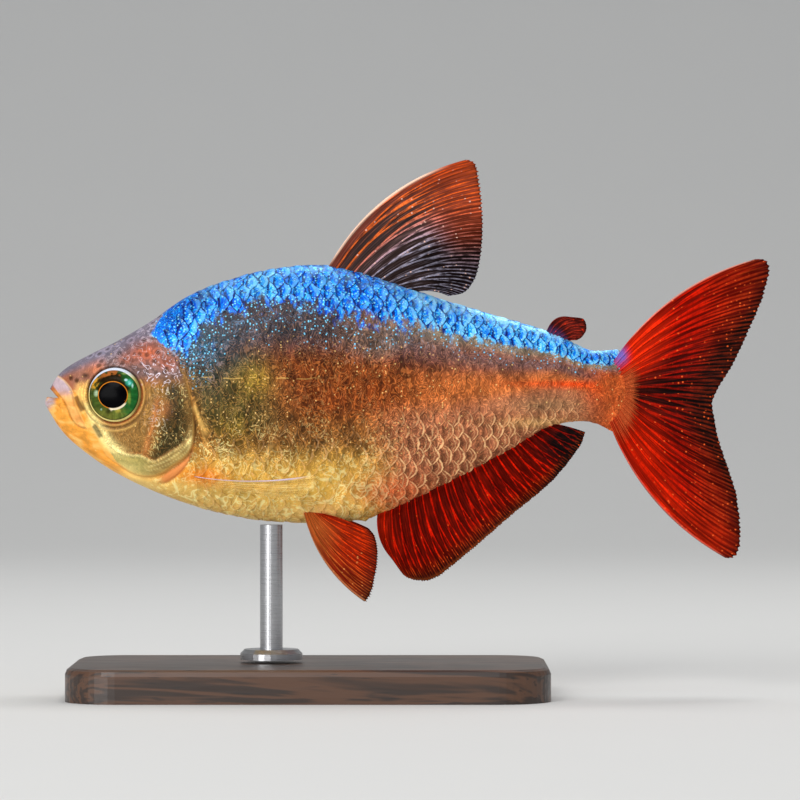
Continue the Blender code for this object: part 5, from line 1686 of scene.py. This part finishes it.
class TETRA_OT_stage(Operator):
    """Sets the pale floor and backdrop, the soft lights and the camera"""

    bl_idname = "tetra.stage"
    bl_label = "Stage"

    def execute(self, context):
        stage = settings("stage")
        self.backdrop(stage)
        aim = Vector((-0.0008, 0.0, 0.0285))
        distance = stage.lens / SENSOR_WIDTH * stage.frame_height
        data = bpy.data.cameras.new("camera")
        data.lens, data.sensor_width, data.clip_start = stage.lens, SENSOR_WIDTH, 0.01
        camera = bpy.data.objects.new("camera", data)
        context.scene.collection.objects.link(camera)
        camera.location = aim + Vector((0, -distance, 0))
        camera.rotation_euler = (math.pi / 2, 0, 0)
        context.scene.camera = camera
        self.light("key", (-0.24, -0.56, 0.38), aim, 0.34, stage.key)
        self.light("fill", (-0.36, -0.52, 0.03), aim, 0.40, stage.key * 0.95)
        self.light("top", (0.06, 0.14, 0.52), aim, 0.30, stage.key * 0.7)
        world = bpy.data.worlds.new("studio")
        world.use_nodes = True
        world.node_tree.nodes["Background"].inputs[0].default_value = (0.84, 0.87, 0.92, 1.0)
        world.node_tree.nodes["Background"].inputs[1].default_value = stage.world
        context.scene.world = world
        context.scene.view_settings.view_transform = "Standard"
        return {"FINISHED"}

    def light(self, name, place_at, aim, size, power):
        data = bpy.data.lights.new(name, "AREA")
        data.shape, data.size, data.energy = "DISK", size, power
        item = bpy.data.objects.new(name, data)
        bpy.context.scene.collection.objects.link(item)
        item.location = place_at
        item.rotation_euler = (aim - Vector(place_at)).to_track_quat("-Z", "Y").to_euler()

    def backdrop(self, stage):
        """A floor that curves up behind the model."""
        sweep, u, v = new_grid("backdrop", 2, 60)
        run = v * 3.2
        bend, radius = 1.2, 0.5
        arc = radius * math.pi / 2
        turn = np.clip((run - bend) / radius, 0, math.pi / 2)
        y = np.where(run < bend, run, bend + radius * np.sin(turn)) - 0.8
        z = radius * (1 - np.cos(turn)) + np.clip(run - bend - arc, 0, None)
        reshape(sweep, np.column_stack(((u - 0.5) * 3.2, y, z)))
        bpy.ops.object.shade_smooth()
        made, tree = new_material("studio_paper", Roughness=0.85)
        grain = tree.noise(tree.position(), 60.0, detail=3.0)
        tree.surface(Base_Color=tree.mix(grain * 0.2, stage.floor, (0.62, 0.62, 0.61)))
        sweep.data.materials.append(made)


class TETRA_PT_panel(Panel):
    """Lists the model's pieces and settings"""

    bl_idname = "TETRA_PT_panel"
    bl_label = "Colombian Tetra"
    bl_space_type = "VIEW_3D"
    bl_region_type = "UI"
    bl_category = "Tetra"

    def draw(self, context):
        for step in STEPS:
            self.layout.operator(step.bl_idname)
        for name in GROUPS:
            box = self.layout.box()
            box.label(text=name.title())
            group = settings(name)
            for key in group.bl_rna.properties.keys():
                if key not in ("rna_type", "name"):
                    box.prop(group, key)


GROUPS = {"body": TetraBody, "fins": TetraFins, "eye": TetraEye, "stage": TetraStage}
STEPS = (
    TETRA_OT_skin, TETRA_OT_scales, TETRA_OT_eyes, TETRA_OT_tail_fin, TETRA_OT_dorsal_fin, TETRA_OT_anal_fin,
    TETRA_OT_paired_fins, TETRA_OT_stand, TETRA_OT_stage,
)


def register():
    for kind in (*GROUPS.values(), *STEPS, TETRA_PT_panel):
        bpy.utils.register_class(kind)
    for name, kind in GROUPS.items():
        setattr(bpy.types.Scene, f"tetra_{name}", PointerProperty(type=kind))


def unregister():
    for name in GROUPS:
        delattr(bpy.types.Scene, f"tetra_{name}")
    for kind in (TETRA_PT_panel, *reversed(STEPS), *GROUPS.values()):
        bpy.utils.unregister_class(kind)


def main():
    register()
    markings_group()
    fin_group()
    for step in STEPS:
        area, name = step.bl_idname.split(".")
        getattr(getattr(bpy.ops, area), name)()


if __name__ == "__main__":
    main()
